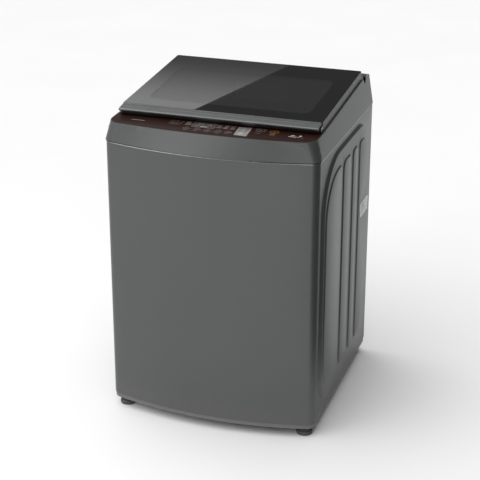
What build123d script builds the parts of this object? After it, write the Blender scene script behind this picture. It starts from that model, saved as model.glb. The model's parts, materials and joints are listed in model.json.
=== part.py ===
"""Top load washing machine made of separate pieces.

Millimetres, +Z up, +X to the user's right, the user stands on the -Y side.
The origin is on the floor, under the middle of the cabinet.
"""
import os
from math import atan2, cos, degrees, hypot, radians, sin, tan

from build123d import *

os.makedirs("parts", exist_ok=True)

# ---------------------------------------------------------------- driving dimensions

# Cabinet
body_width = 600.0            # over the flat of the side panels
body_depth = 616.0            # middle of the bowed front to the rear
seam_height = 806.0           # floor to the seam under the top cover
panel_bottom = 40.0           # floor to the lower edge of the panels
front_bow = 44.0              # how far the middle of the front stands proud of its corners
front_corner_radius = 26.0
rear_corner_radius = 6.0
sheet = 1.0                   # steel sheet
panel_flange = 12.0           # inward return along the top and bottom of a panel
rear_flange = 16.0            # inward return along the rear of a side panel
front_joint_setback = 72.0    # joint of front and side panels, behind the middle of the front
joint_gap = 0.5

# Side stamping
boss_height = 8.0
boss_slope = 12.0             # width of the boss's sloped wall
boss_front_margin = 70.0      # behind the middle of the front
boss_rear_margin = 36.0
boss_bottom = 66.0
boss_top_margin = 16.0
rib_height = 3.5
rib_slope = 3.5
rib_margin_bottom = 56.0
rib_margin_top = 48.0
rib_front_gap = 16.0          # from the foot of the boss to the first rib
rib_widths = (154.0, 78.0, 54.0, 116.0)
rib_gaps = (18.0, 24.0, 22.0)

# Side handles
handle_width = 84.0
handle_height = 42.0
handle_top = 545.0
handle_depth = 30.0
handle_wall = 2.0
handle_corner_radius = 4.0
handle_shift = 4.0            # behind the middle of the rear rib
lip_thickness = 5.0
lip_slant = 3.0
lip_rise = 7.0                # room behind the lip, above the mouth
cup_clearance = 0.2
hood_stand = 1.0              # mouth of the cup proud of the rib

# Top cover
cover_overhang = 2.0
cover_wall = 2.5
rim_inset = 11.0              # rim inside the flat of each side
rim_front_setback = 19.0      # top front edge behind the middle of the cabinet's front
rim_bow = 20.0
rim_rear_setback = 2.0
rim_corner_radius = 38.0
panel_depth = 124.0           # front of the cabinet to the line where panel and sloped rim meet
panel_rise = 56.0             # that line over the seam
panel_slope = 2.0             # degrees
rim_slope = 4.3               # degrees
deck_setback = 41.0           # front of the rear deck, from the rear
deck_rise = 5.0
deck_rear_rise = 81.0         # over the seam
top_plate = 3.0

# Loading opening
opening_side = 100.0          # from the side of the cabinet
opening_margin = 276.0        # cabinet depth that the opening leaves
opening_radius = 120.0
opening_y = 10.0
collar_drop = 50.0            # collar under the seam
collar_wall = 3.0

# Control panel and keys
plate_thickness = 3.0
plate_rim = 3.0               # rim of the cover left around the plate
plate_corner_radius = 36.0
plate_rear_edge = -2.0        # from the panel's rear line
key_travel = 0.6
key_clearance = 0.3
key_stand = 0.4               # key face above the plate
key_y = -72.0                 # row of oval keys, from the panel's rear line
key_pitch = 29.0
first_key_x = -66.0
key_length = 22.0
key_width = 11.0
display_width = 58.0
display_depth = 31.0
display_x = -29.0
display_y = -36.0
program_key_x = 83.0
program_key_y = -68.0
program_key_radius = 8.5
start_key_x = 126.0
start_key_radius = 14.0
power_key_x = 164.0
power_key_radius = 13.0
round_key_y = -33.0
board_drop = 12.0
key_flange = 1.5
key_flange_thickness = 1.4
key_sink = 0.2                # key's flange below the plate
key_stem_radius = 2.0
stem_gap = 0.3                # stem over the board when the key is pressed
board_thickness = 1.6

# Lid
lid_inset = 6.0               # lid inside the rim
lid_gap = 1.5                 # lid over the rim
lid_height = 22.0
lid_front = 9.0               # along the rim, from the control panel's rear line
lid_margin = 202.0            # cabinet depth that the lid leaves
lid_border = 45.0
lid_wall = 2.5
glass_thickness = 4.0
grip_depth = 35.0
grip_drop = 3.4
grip_lip = 7.0
lid_corner_radius = 5.0
lid_window_radius = 30.0
liner_gap = 0.3
hinge_setback = 60.0          # from the rear
hinge_drop = 2.982            # under the rim
hinge_pin_radius = 4.0
hinge_fit = 0.05
barrel_radius = 10.0
barrel_width = 17.0
barrel_inset = 1.0            # from the lid's side
notch_clearance = 3.0

# Lid lock
lock_inset = 82.0             # from the lid's side
lock_setback = 34.0           # behind the control panel's rear line
bolt_radius = 2.3
striker_thickness = 4.0
striker_length = 12.0
striker_drop = 16.0

# Detergent drawer
drawer_width = 155.0
drawer_depth = 76.0
drawer_rise = 16.0            # over the seam
drawer_height = 46.0
drawer_wall = 2.0
drawer_clearance = 0.5
housing_wall = 2.5

# Water inlet
inlet_spacing = 56.0
inlet_radius = 13.2
inlet_bore = 9.0
inlet_rise = 43.0             # over the seam
inlet_cup_width = 120.0
inlet_cup_height = 42.0
inlet_cup_depth = 36.0

# Drain outlet
drain_x = -150.0
drain_height = 125.0
drain_radius = 16.0
drain_length = 24.0
drain_cup = 66.0
drain_cup_depth = 40.0
drain_wall = 2.5

# Tub
tub_clearance = 38.0          # tub inside the flat of the cabinet's sides
tub_wall = 3.0
tub_bottom = 170.0
tub_drop = 106.0              # top of the tub under the seam
tub_ring_height = 16.0
tub_mouth_lap = 50.0          # ring's mouth inside the tub's wall
lug_bottom = 220.0
lug_thickness = 8.0
lug_width = 50.0

# Suspension
rod_inset = 50.0              # from the side
rod_front_inset = 83.0        # from the middle of the front
rod_rear_inset = 72.0
rod_radius = 4.0
rod_bottom = 130.0
bracket_drop = 46.0           # under the seam
bracket_thickness = 6.0
bracket_size = 96.0
spring_radius = 13.0
spring_bore = 9.0

# Basket and pulsator
basket_clearance = 19.0       # basket inside the tub
basket_wall = 1.2
basket_bottom = 206.0
basket_drop = 180.0           # top of the basket's steel under the seam
balance_height = 58.0
balance_stand = 3.0           # ring's outside over the basket's
balance_width = 46.0
pulsator_margin = 73.0        # pulsator inside the basket
pulsator_gap = 3.0
pulsator_height = 50.0
fin_count = 6
shaft_radius = 9.0
tube_radius = 16.0
shaft_fit = 0.05
filter_width = 90.0
filter_height = 160.0
filter_bottom = 400.0
filter_thickness = 20.0

# Drive
plate_bottom = 150.0
support_thickness = 6.0
gearcase_radius = 62.0
gearcase_bottom = 90.0
pulley_bottom = 66.0
pulley_width = 18.0
pulley_radius = 80.0
motor_pulley_radius = 25.0
motor_x = 165.0
motor_radius = 58.0
belt_thickness = 6.0
belt_gap = 0.3

# Base and feet
base_bottom = 28.0
base_inset = 1.5
base_rail = 34.0
base_hatch_radius = 110.0
foot_inset = 34.0             # from the side
foot_front_inset = 70.0       # from the middle of the front
foot_rear_inset = 36.0
foot_radius = 22.0
stud_radius = 5.0
nut_height = 8.0
nut_radius = 9.5              # over the corners
foot_pad = 12.0
foot_pad_chamfer = 2.5
foot_collar = 4.0
foot_collar_inset = 5.0
foot_hex_radius = 12.0
foot_gap = 0.4                # foot's hexagon under the base frame
stud_end = 8.0                # stud above its lock nut

# ---------------------------------------------------------------- values worked out from them

tolerance = 0.1
half_width = body_width / 2
front_y = -body_depth / 2
rear_y = body_depth / 2
front_joint_y = front_y + front_joint_setback
panel_height = seam_height - panel_bottom
rim_half_width = half_width - rim_inset
panel_rear_y = front_y + panel_depth
panel_rear_height = seam_height + panel_rise
deck_front_y = rear_y - deck_setback
deck_rear_height = seam_height + deck_rear_rise
opening_width = body_width - 2 * opening_side
opening_depth = body_depth - opening_margin
collar_bottom = seam_height - collar_drop
lid_half_width = rim_half_width - lid_inset
lid_rear = lid_front + body_depth - lid_margin
hinge_y = rear_y - hinge_setback
hinge_height = panel_rear_height + tan(radians(rim_slope)) * (hinge_y - panel_rear_y) - hinge_drop
barrel_outer_x = lid_half_width - barrel_inset
barrel_inner_x = barrel_outer_x - barrel_width
lock_x = lid_half_width - lock_inset
lock_y = panel_rear_y + lock_setback
drawer_bottom = seam_height + drawer_rise
inlet_height = seam_height + inlet_rise
tub_radius = min(half_width, body_depth / 2) - tub_clearance
tub_top = seam_height - tub_drop
tub_mouth_radius = tub_radius - tub_mouth_lap
basket_radius = tub_radius - basket_clearance
basket_top = seam_height - basket_drop
balance_outer = basket_radius + balance_stand
balance_inner = balance_outer - balance_width
pulsator_radius = basket_radius - pulsator_margin
rod_x = half_width - rod_inset
rod_front_y = front_y + rod_front_inset
rod_rear_y = rear_y - rod_rear_inset
bracket_height = seam_height - bracket_drop
foot_x = half_width - foot_inset
foot_front_y = front_y + foot_front_inset
foot_rear_y = rear_y - foot_rear_inset
panel_plane = Plane(
    origin=(0, panel_rear_y, panel_rear_height),
    x_dir=(1, 0, 0),
    z_dir=(0, -sin(radians(panel_slope)), cos(radians(panel_slope))),
)
rim_plane = Plane(
    origin=(0, panel_rear_y, panel_rear_height),
    x_dir=(1, 0, 0),
    z_dir=(0, -sin(radians(rim_slope)), cos(radians(rim_slope))),
)
rod_places = [(x, y) for x in (-rod_x, rod_x) for y in (rod_front_y, rod_rear_y)]
foot_places = {
    "front_left": (-foot_x, foot_front_y),
    "front_right": (foot_x, foot_front_y),
    "rear_left": (-foot_x, foot_rear_y),
    "rear_right": (foot_x, foot_rear_y),
}


def rim_height(y):
    """Height of the top cover's sloped rim at a depth."""
    return panel_rear_height + tan(radians(rim_slope)) * (y - panel_rear_y)


def save(piece, name):
    """Label a finished piece and write it as one STEP file."""
    piece.part.label = name
    export_step(piece.part, f"parts/{name}.step")


def bowed_outline(half, front, bow, rear, front_radius, rear_radius):
    """Plan outline: straight sides and rear, a front that bows forward, rounded corners."""
    with BuildSketch() as outline:
        with BuildLine():
            Polyline((half, front + bow), (half, rear), (-half, rear), (-half, front + bow))
            ThreePointArc((-half, front + bow), (0, front), (half, front + bow))
        make_face()
        fillet(outline.vertices().group_by(Axis.Y)[-1], rear_radius)
        corners = outline.vertices().filter_by_position(
            Axis.Y, front + bow - tolerance, front + bow + tolerance
        )
        fillet(corners, front_radius)
    return outline.sketch


def cabinet_outline(inset=0.0):
    """The cabinet's plan outline, drawn in by an inset."""
    return bowed_outline(
        half_width - inset,
        front_y + inset,
        front_bow,
        rear_y - inset,
        max(front_corner_radius - inset, 2.0),
        max(rear_corner_radius - inset, 1.0),
    )


# ---------------------------------------------------------------- cabinet panels

joint_plane = Plane(origin=(0, front_joint_y, 0), z_dir=(0, 1, 0))
side_joint_plane = Plane(origin=(0, front_joint_y + joint_gap, 0), z_dir=(0, 1, 0))

with BuildPart() as panel_shell:
    with BuildSketch(Plane.XY.offset(panel_bottom)):
        add(cabinet_outline())
    extrude(amount=panel_height)
    with BuildSketch(Plane.XY.offset(panel_bottom + sheet)):
        add(cabinet_outline(sheet))
    extrude(amount=panel_height - 2 * sheet, mode=Mode.SUBTRACT)
    with BuildSketch(Plane.XY.offset(panel_bottom)):
        add(cabinet_outline(panel_flange))
    extrude(amount=panel_height, mode=Mode.SUBTRACT)

with BuildPart() as front_panel:
    add(panel_shell.part)
    split(bisect_by=joint_plane, keep=Keep.BOTTOM)

save(front_panel, "front_panel")


def side_plane(x):
    """Plane on the right side, drawn with depth across and height up."""
    return Plane(origin=(x, 0, 0), x_dir=(0, 1, 0), z_dir=(1, 0, 0))


def cornered(y_start, y_end, z_start, z_end, radii):
    """Upright rectangle with its own radius at front-bottom, front-top, rear-top and rear-bottom."""
    corners = ((y_start, z_start), (y_start, z_end), (y_end, z_end), (y_end, z_start))
    with BuildSketch() as shape:
        with Locations(((y_start + y_end) / 2, (z_start + z_end) / 2)):
            Rectangle(y_end - y_start, z_end - z_start)
        for corner, radius in zip(corners, radii):
            fillet(shape.vertices().sort_by_distance((*corner, 0))[0], radius)
    return shape.sketch


boss_front = front_y + boss_front_margin
boss_rear = rear_y - boss_rear_margin
boss_top = seam_height - boss_top_margin
boss_radii = (105.0, 160.0, 140.0, 100.0)
boss_taper = degrees(atan2(boss_slope, boss_height))
rib_bottom = boss_bottom + rib_margin_bottom
rib_top = boss_top - rib_margin_top
rib_taper = degrees(atan2(rib_slope, rib_height))
rib_end_radius = 16.0
rib_corner_radii = (
    (66.0, 124.0, rib_end_radius, rib_end_radius),
    (rib_end_radius, 26.0, rib_end_radius, rib_end_radius),
    (rib_end_radius, 22.0, rib_end_radius, rib_end_radius),
    (rib_end_radius, rib_end_radius, 92.0, 62.0),
)
rib_starts = [boss_front + rib_front_gap + sum(rib_widths[:n]) + sum(rib_gaps[:n]) for n in range(4)]
handle_y = rib_starts[3] + rib_widths[3] / 2 + handle_shift
handle_middle = handle_top - handle_height / 2
handle_face_x = half_width + boss_height + rib_height

with BuildPart() as right_side_panel:
    add(panel_shell.part)
    split(bisect_by=side_joint_plane, keep=Keep.TOP)
    split(bisect_by=side_plane(half_width - rear_flange), keep=Keep.TOP)
    with BuildSketch(side_plane(half_width)):
        add(cornered(boss_front, boss_rear, boss_bottom, boss_top, boss_radii))
    extrude(amount=boss_height, taper=boss_taper)
    with BuildSketch(side_plane(half_width + boss_height)):
        for start, width, radii in zip(rib_starts, rib_widths, rib_corner_radii):
            add(cornered(start, start + width, rib_bottom, rib_top, radii))
    extrude(amount=rib_height, taper=rib_taper)
    with BuildSketch(side_plane(half_width - sheet)):
        add(cornered(boss_front, boss_rear, boss_bottom, boss_top, boss_radii))
    extrude(amount=boss_height, taper=boss_taper, mode=Mode.SUBTRACT)
    with BuildSketch(side_plane(half_width + boss_height - sheet)):
        for start, width, radii in zip(rib_starts, rib_widths, rib_corner_radii):
            add(cornered(start, start + width, rib_bottom, rib_top, radii))
    extrude(amount=rib_height, taper=rib_taper, mode=Mode.SUBTRACT)
    with BuildSketch(side_plane(half_width)):
        with Locations((handle_y, handle_middle)):
            RectangleRounded(handle_width, handle_height, handle_corner_radius)
    extrude(amount=boss_height + rib_height + sheet, mode=Mode.SUBTRACT)

save(right_side_panel, "right_side_panel")

with BuildPart() as left_side_panel:
    mirror(right_side_panel.part, about=Plane.YZ)

save(left_side_panel, "left_side_panel")

# Finger pocket let into each side: its floor slopes in and up, and its room rises behind the lip.
pocket_inner_x = handle_face_x - handle_depth

with BuildPart() as handle_cup_right:
    with BuildSketch(side_plane(pocket_inner_x)):
        with Locations((handle_y, handle_middle + lip_rise / 2)):
            Rectangle(handle_width + 2 * handle_wall, handle_height + lip_rise + 2 * handle_wall)
    extrude(amount=handle_depth - rib_height - sheet)
    with BuildSketch(side_plane(half_width + boss_height - sheet)):
        with Locations((handle_y, handle_middle)):
            RectangleRounded(
                handle_width - 2 * cup_clearance,
                handle_height - 2 * cup_clearance,
                handle_corner_radius,
            )
    extrude(amount=rib_height + sheet + hood_stand)
    with BuildSketch(Plane.XZ.offset(-handle_y)) as pocket:
        with BuildLine():
            Polyline(
                (handle_face_x + hood_stand, handle_top - handle_height + handle_wall),
                (handle_face_x + hood_stand, handle_top - handle_wall),
                (handle_face_x - lip_thickness, handle_top - handle_wall),
                (handle_face_x - lip_thickness - lip_slant, handle_top + lip_rise),
                (pocket_inner_x + handle_wall, handle_top + lip_rise),
                (pocket_inner_x + handle_wall, handle_top - handle_height / 2),
                close=True,
            )
        make_face()
    extrude(amount=handle_width / 2 - handle_wall, both=True, mode=Mode.SUBTRACT)

save(handle_cup_right, "handle_cup_right")

with BuildPart() as handle_cup_left:
    mirror(handle_cup_right.part, about=Plane.YZ)

save(handle_cup_left, "handle_cup_left")

# Rear panel inside the side panels' rear flanges, with a service opening and two outlets.
service_width = 290.0
service_height = 250.0
service_x = 60.0
service_bottom = 70.0
service_lap = 14.0
rear_inner_y = rear_y - 2 * sheet
gland_x = 200.0
gland_height = 735.0
gland_radius = 10.0
drain_lap = 7.0
stamp_x = 150.0
stamp_width = 120.0
stamp_bottom = 380.0
stamp_height = 300.0
stamp_depth = 5.0
stamp_corner_radius = 30.0
stamp_taper = 30
rear_clearance = 0.2
service_corner_radius = 8.0
vent_count = 5
vent_pitch = 26.0
vent_length = 180.0
vent_width = 7.0
gland_flange = 4.0
gland_flange_thickness = 3.0
gland_length = 12.0
cord_bore_radius = 4.2
drain_corner_radius = 5.0
stamp_places = [(x, stamp_bottom + stamp_height / 2) for x in (-stamp_x, stamp_x)]
rear_plane = Plane(origin=(0, rear_inner_y, 0), x_dir=(-1, 0, 0), z_dir=(0, 1, 0))

with BuildPart() as rear_panel:
    with BuildSketch(rear_plane):
        with Locations((0, panel_bottom + panel_height / 2)):
            Rectangle(
                body_width - 2 * rear_corner_radius - 2 * rear_clearance,
                panel_height - 2 * sheet - 2 * rear_clearance,
            )
        with Locations((-service_x, service_bottom + service_height / 2)):
            Rectangle(
                service_width - 2 * service_lap,
                service_height - 2 * service_lap,
                mode=Mode.SUBTRACT,
            )
        with Locations((-drain_x, drain_height)):
            Rectangle(drain_cup, drain_cup, mode=Mode.SUBTRACT)
        with Locations((-gland_x, gland_height)):
            Circle(gland_radius + rear_clearance, mode=Mode.SUBTRACT)
    extrude(amount=sheet)
    with BuildSketch(rear_plane):
        with Locations(*stamp_places):
            RectangleRounded(stamp_width, stamp_height, stamp_corner_radius)
    extrude(amount=-stamp_depth, taper=stamp_taper)
    with BuildSketch(rear_plane.offset(sheet)):
        with Locations(*stamp_places):
            RectangleRounded(stamp_width, stamp_height, stamp_corner_radius)
    extrude(amount=-stamp_depth, taper=stamp_taper, mode=Mode.SUBTRACT)

save(rear_panel, "rear_panel")

cover_plate_plane = rear_plane.offset(sheet)

with BuildPart() as rear_service_cover:
    with BuildSketch(cover_plate_plane):
        with Locations((-service_x, service_bottom + service_height / 2)):
            RectangleRounded(service_width, service_height, service_corner_radius)
    extrude(amount=sheet)
    with BuildSketch(cover_plate_plane):
        with Locations((-service_x, service_bottom + service_height / 2)):
            with GridLocations(0, vent_pitch, 1, vent_count):
                SlotOverall(vent_length, vent_width)
    extrude(amount=sheet, mode=Mode.SUBTRACT)

save(rear_service_cover, "rear_service_cover")

cup_outer = drain_cup - 2 * rear_clearance

with BuildPart() as drain_outlet:
    with BuildSketch(cover_plate_plane):
        with Locations((-drain_x, drain_height)):
            RectangleRounded(drain_cup + 2 * drain_lap, drain_cup + 2 * drain_lap, drain_corner_radius)
    extrude(amount=sheet)
    with BuildSketch(cover_plate_plane):
        with Locations((-drain_x, drain_height)):
            Rectangle(cup_outer, cup_outer)
    extrude(amount=-drain_cup_depth)
    with BuildSketch(cover_plate_plane.offset(sheet)):
        with Locations((-drain_x, drain_height)):
            Rectangle(cup_outer - 2 * drain_wall, cup_outer - 2 * drain_wall)
    extrude(amount=-(drain_cup_depth + sheet - drain_wall), mode=Mode.SUBTRACT)
    with BuildSketch(cover_plate_plane.offset(-drain_cup_depth - drain_length)):
        with Locations((-drain_x, drain_height)):
            Circle(drain_radius)
    extrude(amount=2 * drain_length + drain_wall)
    with BuildSketch(cover_plate_plane.offset(-drain_cup_depth - drain_length)):
        with Locations((-drain_x, drain_height)):
            Circle(drain_radius - drain_wall)
    extrude(amount=2 * drain_length + drain_wall, mode=Mode.SUBTRACT)

save(drain_outlet, "drain_outlet")

with BuildPart() as power_cord_gland:
    with BuildSketch(rear_plane.offset(sheet)):
        with Locations((-gland_x, gland_height)):
            Circle(gland_radius + gland_flange)
    extrude(amount=gland_flange_thickness)
    with BuildSketch(rear_plane.offset(sheet)):
        with Locations((-gland_x, gland_height)):
            Circle(gland_radius)
    extrude(amount=-gland_length)
    with BuildSketch(rear_plane.offset(sheet + gland_flange_thickness)):
        with Locations((-gland_x, gland_height)):
            Circle(cord_bore_radius)
    extrude(amount=-gland_length - gland_flange_thickness, mode=Mode.SUBTRACT)

save(power_cord_gland, "power_cord_gland")

# ---------------------------------------------------------------- base frame and feet

with BuildPart() as base_frame:
    with BuildSketch(Plane.XY.offset(base_bottom)) as rail:
        add(cabinet_outline(base_inset))
        inner_width = body_width - 2 * base_inset - 2 * base_rail
        inner_depth = body_depth - front_bow - base_rail - base_rail
        with Locations((0, front_bow / 2)):
            RectangleRounded(inner_width, inner_depth, base_hatch_radius, mode=Mode.SUBTRACT)
        with Locations(*foot_places.values()):
            Circle(stud_radius + shaft_fit, mode=Mode.SUBTRACT)
    extrude(amount=panel_bottom - base_bottom)

save(base_frame, "base_frame")

skirt_half = 220.0
skirt_inset = 20.0
skirt_drop = 12.0
skirt_thickness = 3.0
skirt_tab = 14.0
skirt_tab_thickness = 2.0
skirt_end_angle = 50.0

with BuildPart() as kick_plate:
    with BuildSketch(Plane.XY.offset(base_bottom - skirt_drop)) as skirt:
        add(cabinet_outline(skirt_inset))
        add(cabinet_outline(skirt_inset + skirt_thickness), mode=Mode.SUBTRACT)
    extrude(amount=skirt_drop)
    with BuildSketch(Plane.XY.offset(base_bottom - skirt_tab_thickness)):
        add(cabinet_outline(skirt_inset))
        add(cabinet_outline(skirt_inset + skirt_tab), mode=Mode.SUBTRACT)
    extrude(amount=skirt_tab_thickness)
    with BuildSketch(Plane.XZ):
        with Locations((0, base_bottom - skirt_drop / 2)):
            Trapezoid(2 * skirt_half, skirt_drop, skirt_end_angle, rotation=180)
    extrude(amount=body_depth, mode=Mode.INTERSECT)

save(kick_plate, "kick_plate")

for corner, place in foot_places.items():
    with BuildPart() as levelling_foot:
        with BuildSketch(Plane.XY):
            with Locations(place):
                Circle(foot_radius)
        extrude(amount=foot_pad)
        chamfer(levelling_foot.faces().sort_by(Axis.Z)[-1].edges(), foot_pad_chamfer)
        with BuildSketch(Plane.XY.offset(foot_pad)):
            with Locations(place):
                Circle(foot_radius - foot_collar_inset)
        extrude(amount=foot_collar)
        with BuildSketch(Plane.XY.offset(foot_pad + foot_collar)):
            with Locations(place):
                RegularPolygon(foot_hex_radius, 6)
        extrude(amount=base_bottom - foot_gap - foot_pad - foot_collar)
        with BuildSketch(Plane.XY.offset(foot_pad + foot_collar)):
            with Locations(place):
                Circle(stud_radius)
        extrude(amount=panel_bottom + nut_height + stud_end - foot_pad - foot_collar)
    save(levelling_foot, f"levelling_foot_{corner}")

with BuildPart() as foot_lock_nuts:
    with BuildSketch(Plane.XY.offset(panel_bottom)):
        with Locations(*foot_places.values()):
            RegularPolygon(nut_radius, 6)
            Circle(stud_radius + shaft_fit, mode=Mode.SUBTRACT)
    extrude(amount=nut_height)

save(foot_lock_nuts, "foot_lock_nuts")

# ---------------------------------------------------------------- top cover

cover_reach = 12.0            # the form runs on past the rim and is cut to its top profile
cover_bottom_half = half_width + cover_overhang
cover_growth = cover_reach / (panel_rear_height - seam_height)
raised_half = rim_half_width - cover_growth * (cover_bottom_half - rim_half_width)
raised_front = front_y + rim_front_setback + cover_growth * rim_front_setback


def cover_form(inset, lowered):
    """Closed form of the top cover, drawn in by an inset and with its top lowered."""
    bottom = bowed_outline(
        cover_bottom_half - inset,
        front_y - cover_overhang + inset,
        front_bow,
        rear_y + cover_overhang - inset,
        front_corner_radius + cover_overhang - inset,
        rear_corner_radius + cover_overhang - inset,
    )
    raised = bowed_outline(
        raised_half - inset,
        raised_front - panel_rear_y + inset,
        rim_bow,
        (rear_y - rim_rear_setback - panel_rear_y) / cos(radians(rim_slope)) - inset,
        rim_corner_radius - inset,
        rear_corner_radius + cover_overhang - inset,
    )
    with BuildPart() as form:
        with BuildSketch(Plane.XY.offset(seam_height)):
            add(bottom)
        with BuildSketch(rim_plane.offset(cover_reach)):
            add(raised)
        loft(ruled=True)
        with BuildSketch(Plane.YZ):
            with BuildLine():
                Polyline(
                    (front_y - 10.0, seam_height),
                    (front_y - 10.0, panel_height_at(front_y - 10.0) - lowered),
                    (panel_rear_y, panel_rear_height - lowered),
                    (deck_front_y - 1.5, rim_height(deck_front_y - 1.5) - lowered),
                    (deck_front_y, rim_height(deck_front_y) + deck_rise - lowered),
                    (rear_y + 10.0, deck_rear_height - lowered),
                    (rear_y + 10.0, seam_height),
                    close=True,
                )
            make_face()
        extrude(amount=body_width, both=True, mode=Mode.INTERSECT)
    return form.part


def panel_height_at(y):
    """Height of the control panel's face at a depth."""
    return panel_rear_height + tan(radians(panel_slope)) * (y - panel_rear_y)


def plate_outline(grow):
    """Outline of the control panel in its own plane, grown by a clearance."""
    front = front_y + rim_front_setback - panel_rear_y + plate_rim
    return bowed_outline(
        rim_half_width - plate_rim + grow,
        front - grow,
        rim_bow,
        plate_rear_edge + grow,
        plate_corner_radius + grow,
        1.0,
    )


cover_inner = cover_form(cover_wall, top_plate)
opening_rear = opening_y + opening_depth / 2
collar_rear = opening_rear + collar_wall
pad_thickness = 3.0
window_left = -100.0          # room under the keys, from the panel's rear line
window_right = 190.0
window_front = -86.0
window_rear = -14.0
lock_slot_width = 10.0
lock_slot_length = 20.0
lock_s = (lock_y - panel_rear_y) / cos(radians(rim_slope))
ear_outer_x = barrel_inner_x - 1.5
ear_inner_x = ear_outer_x - 17.5
ear_half = 10.0
ear_depth = 9.0
notch_start = 18.0
notch_radius = barrel_radius + notch_clearance
side_screw_y = front_y + 64.0
side_screw_height = seam_height + 32.0
side_slot_height = seam_height + 14.0
inlet_wall = 2.5
drawer_y = collar_rear - 5.0
drawer_room = drawer_width / 2 + drawer_clearance


def hinge_side(x):
    """Plane across the hinge axis, with depth across and height up."""
    return Plane(origin=(x, hinge_y, hinge_height), x_dir=(0, 1, 0), z_dir=(1, 0, 0))


with BuildPart() as collar:
    with BuildSketch(Plane.XY.offset(collar_bottom)):
        with Locations((0, opening_y)):
            RectangleRounded(
                opening_width + 2 * collar_wall,
                opening_depth + 2 * collar_wall,
                opening_radius + collar_wall,
            )
    extrude(amount=seam_height + cover_reach)
    split(bisect_by=rim_plane, keep=Keep.BOTTOM)

with BuildPart() as top_cover:
    add(cover_form(0.0, 0.0))
    add(cover_inner, mode=Mode.SUBTRACT)
    add(collar.part)
    # loading opening
    with BuildSketch(Plane.XY.offset(collar_bottom)):
        with Locations((0, opening_y)):
            RectangleRounded(opening_width, opening_depth, opening_radius)
    extrude(amount=seam_height, mode=Mode.SUBTRACT)
    # seat for the control panel, with a window under its keys
    with BuildSketch(panel_plane.offset(-plate_thickness - pad_thickness)):
        add(plate_outline(plate_rim - 1.0))
    extrude(amount=pad_thickness + 1.0)
    with BuildSketch(panel_plane.offset(-plate_thickness)):
        add(plate_outline(0.2))
    extrude(amount=plate_thickness + 5.0, mode=Mode.SUBTRACT)
    with BuildSketch(panel_plane):
        with Locations(((window_left + window_right) / 2, (window_front + window_rear) / 2)):
            Rectangle(window_right - window_left, window_rear - window_front)
    extrude(amount=-4 * plate_thickness, mode=Mode.SUBTRACT)
    # slot that the lid's striker enters
    with BuildSketch(rim_plane):
        with Locations((lock_x, lock_s)):
            Rectangle(lock_slot_width, lock_slot_length)
    extrude(amount=-2 * top_plate, mode=Mode.SUBTRACT)
    # hinge ears under the rim, and notches for the lid's barrels
    for x in (ear_inner_x, -ear_outer_x):
        with BuildSketch(hinge_side(x)):
            with Locations((0, (1.5 - ear_depth) / 2)):
                Rectangle(2 * ear_half, ear_depth + 1.5)
        extrude(amount=ear_outer_x - ear_inner_x)
        with BuildSketch(hinge_side(x - ear_half)):
            Circle(hinge_pin_radius + hinge_fit)
        extrude(amount=ear_outer_x - ear_inner_x + 2 * ear_half, mode=Mode.SUBTRACT)
    for x in (barrel_inner_x - 0.5, -half_width):
        with BuildSketch(hinge_side(x)):
            Circle(notch_radius)
            with Locations(((notch_radius - notch_start) / 2, notch_radius / 2)):
                Rectangle(notch_radius + notch_start, notch_radius)
        extrude(amount=half_width - barrel_inner_x + 0.5, mode=Mode.SUBTRACT)
    # screw hole and slot at the front of each side
    for x in (half_width - 16.0, -half_width - 4.0):
        with BuildSketch(side_plane(x)):
            with Locations((side_screw_y, side_screw_height)):
                Circle(1.8)
            with Locations((side_screw_y, side_slot_height)):
                SlotOverall(14.0, 3.0, rotation=90)
        extrude(amount=20.0, mode=Mode.SUBTRACT)
    # drawer mouth in the collar and the recess for the water inlets
    with BuildSketch(Plane.XZ.offset(-collar_rear - 1.0)):
        with Locations((0, drawer_bottom + drawer_height / 2 + drawer_clearance)):
            Rectangle(2 * drawer_room, drawer_height + 2 * drawer_clearance + 2.0)
    extrude(amount=collar_wall + 4.0, mode=Mode.SUBTRACT)
    with BuildSketch(Plane.XZ.offset(-rear_y - 5.0)):
        with Locations((0, inlet_height)):
            RectangleRounded(inlet_cup_width - 2 * inlet_wall, inlet_cup_height - 2 * inlet_wall, 3.0)
    extrude(amount=20.0, mode=Mode.SUBTRACT)

save(top_cover, "top_cover")

# ---------------------------------------------------------------- control panel

key_places = {
    "function_key_1": (first_key_x, key_y),
    "function_key_2": (first_key_x + key_pitch, key_y),
    "function_key_3": (first_key_x + 2 * key_pitch, key_y),
    "function_key_4": (first_key_x + 3 * key_pitch, key_y),
    "function_key_5": (first_key_x + 4 * key_pitch, key_y),
    "program_key": (program_key_x, program_key_y),
    "start_key": (start_key_x, round_key_y),
    "power_key": (power_key_x, round_key_y),
}
round_keys = {
    "program_key": program_key_radius,
    "start_key": start_key_radius,
    "power_key": power_key_radius,
}
post_places = [
    (x, y)
    for x in (window_left + 7.0, window_right - 7.0)
    for y in (window_front + 7.0, window_rear - 7.0)
]
display_flange = 2.0


def key_outline(name, grow):
    """Face of a key, round or oval, grown by a clearance."""
    with BuildSketch() as face:
        with Locations(key_places[name]):
            if name in round_keys:
                Circle(round_keys[name] + grow)
            else:
                Ellipse(key_length / 2 + grow, key_width / 2 + grow)
    return face.sketch


with BuildPart() as control_panel:
    with BuildSketch(panel_plane.offset(-plate_thickness)):
        add(plate_outline(0.0))
        for name in key_places:
            add(key_outline(name, key_clearance), mode=Mode.SUBTRACT)
        with Locations((display_x, display_y)):
            Rectangle(display_width + 0.4, display_depth + 0.4, mode=Mode.SUBTRACT)
    extrude(amount=plate_thickness)
    with BuildSketch(panel_plane.offset(-plate_thickness)):
        with Locations(*post_places):
            Circle(3.5)
    extrude(amount=-board_drop)

save(control_panel, "control_panel")

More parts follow.
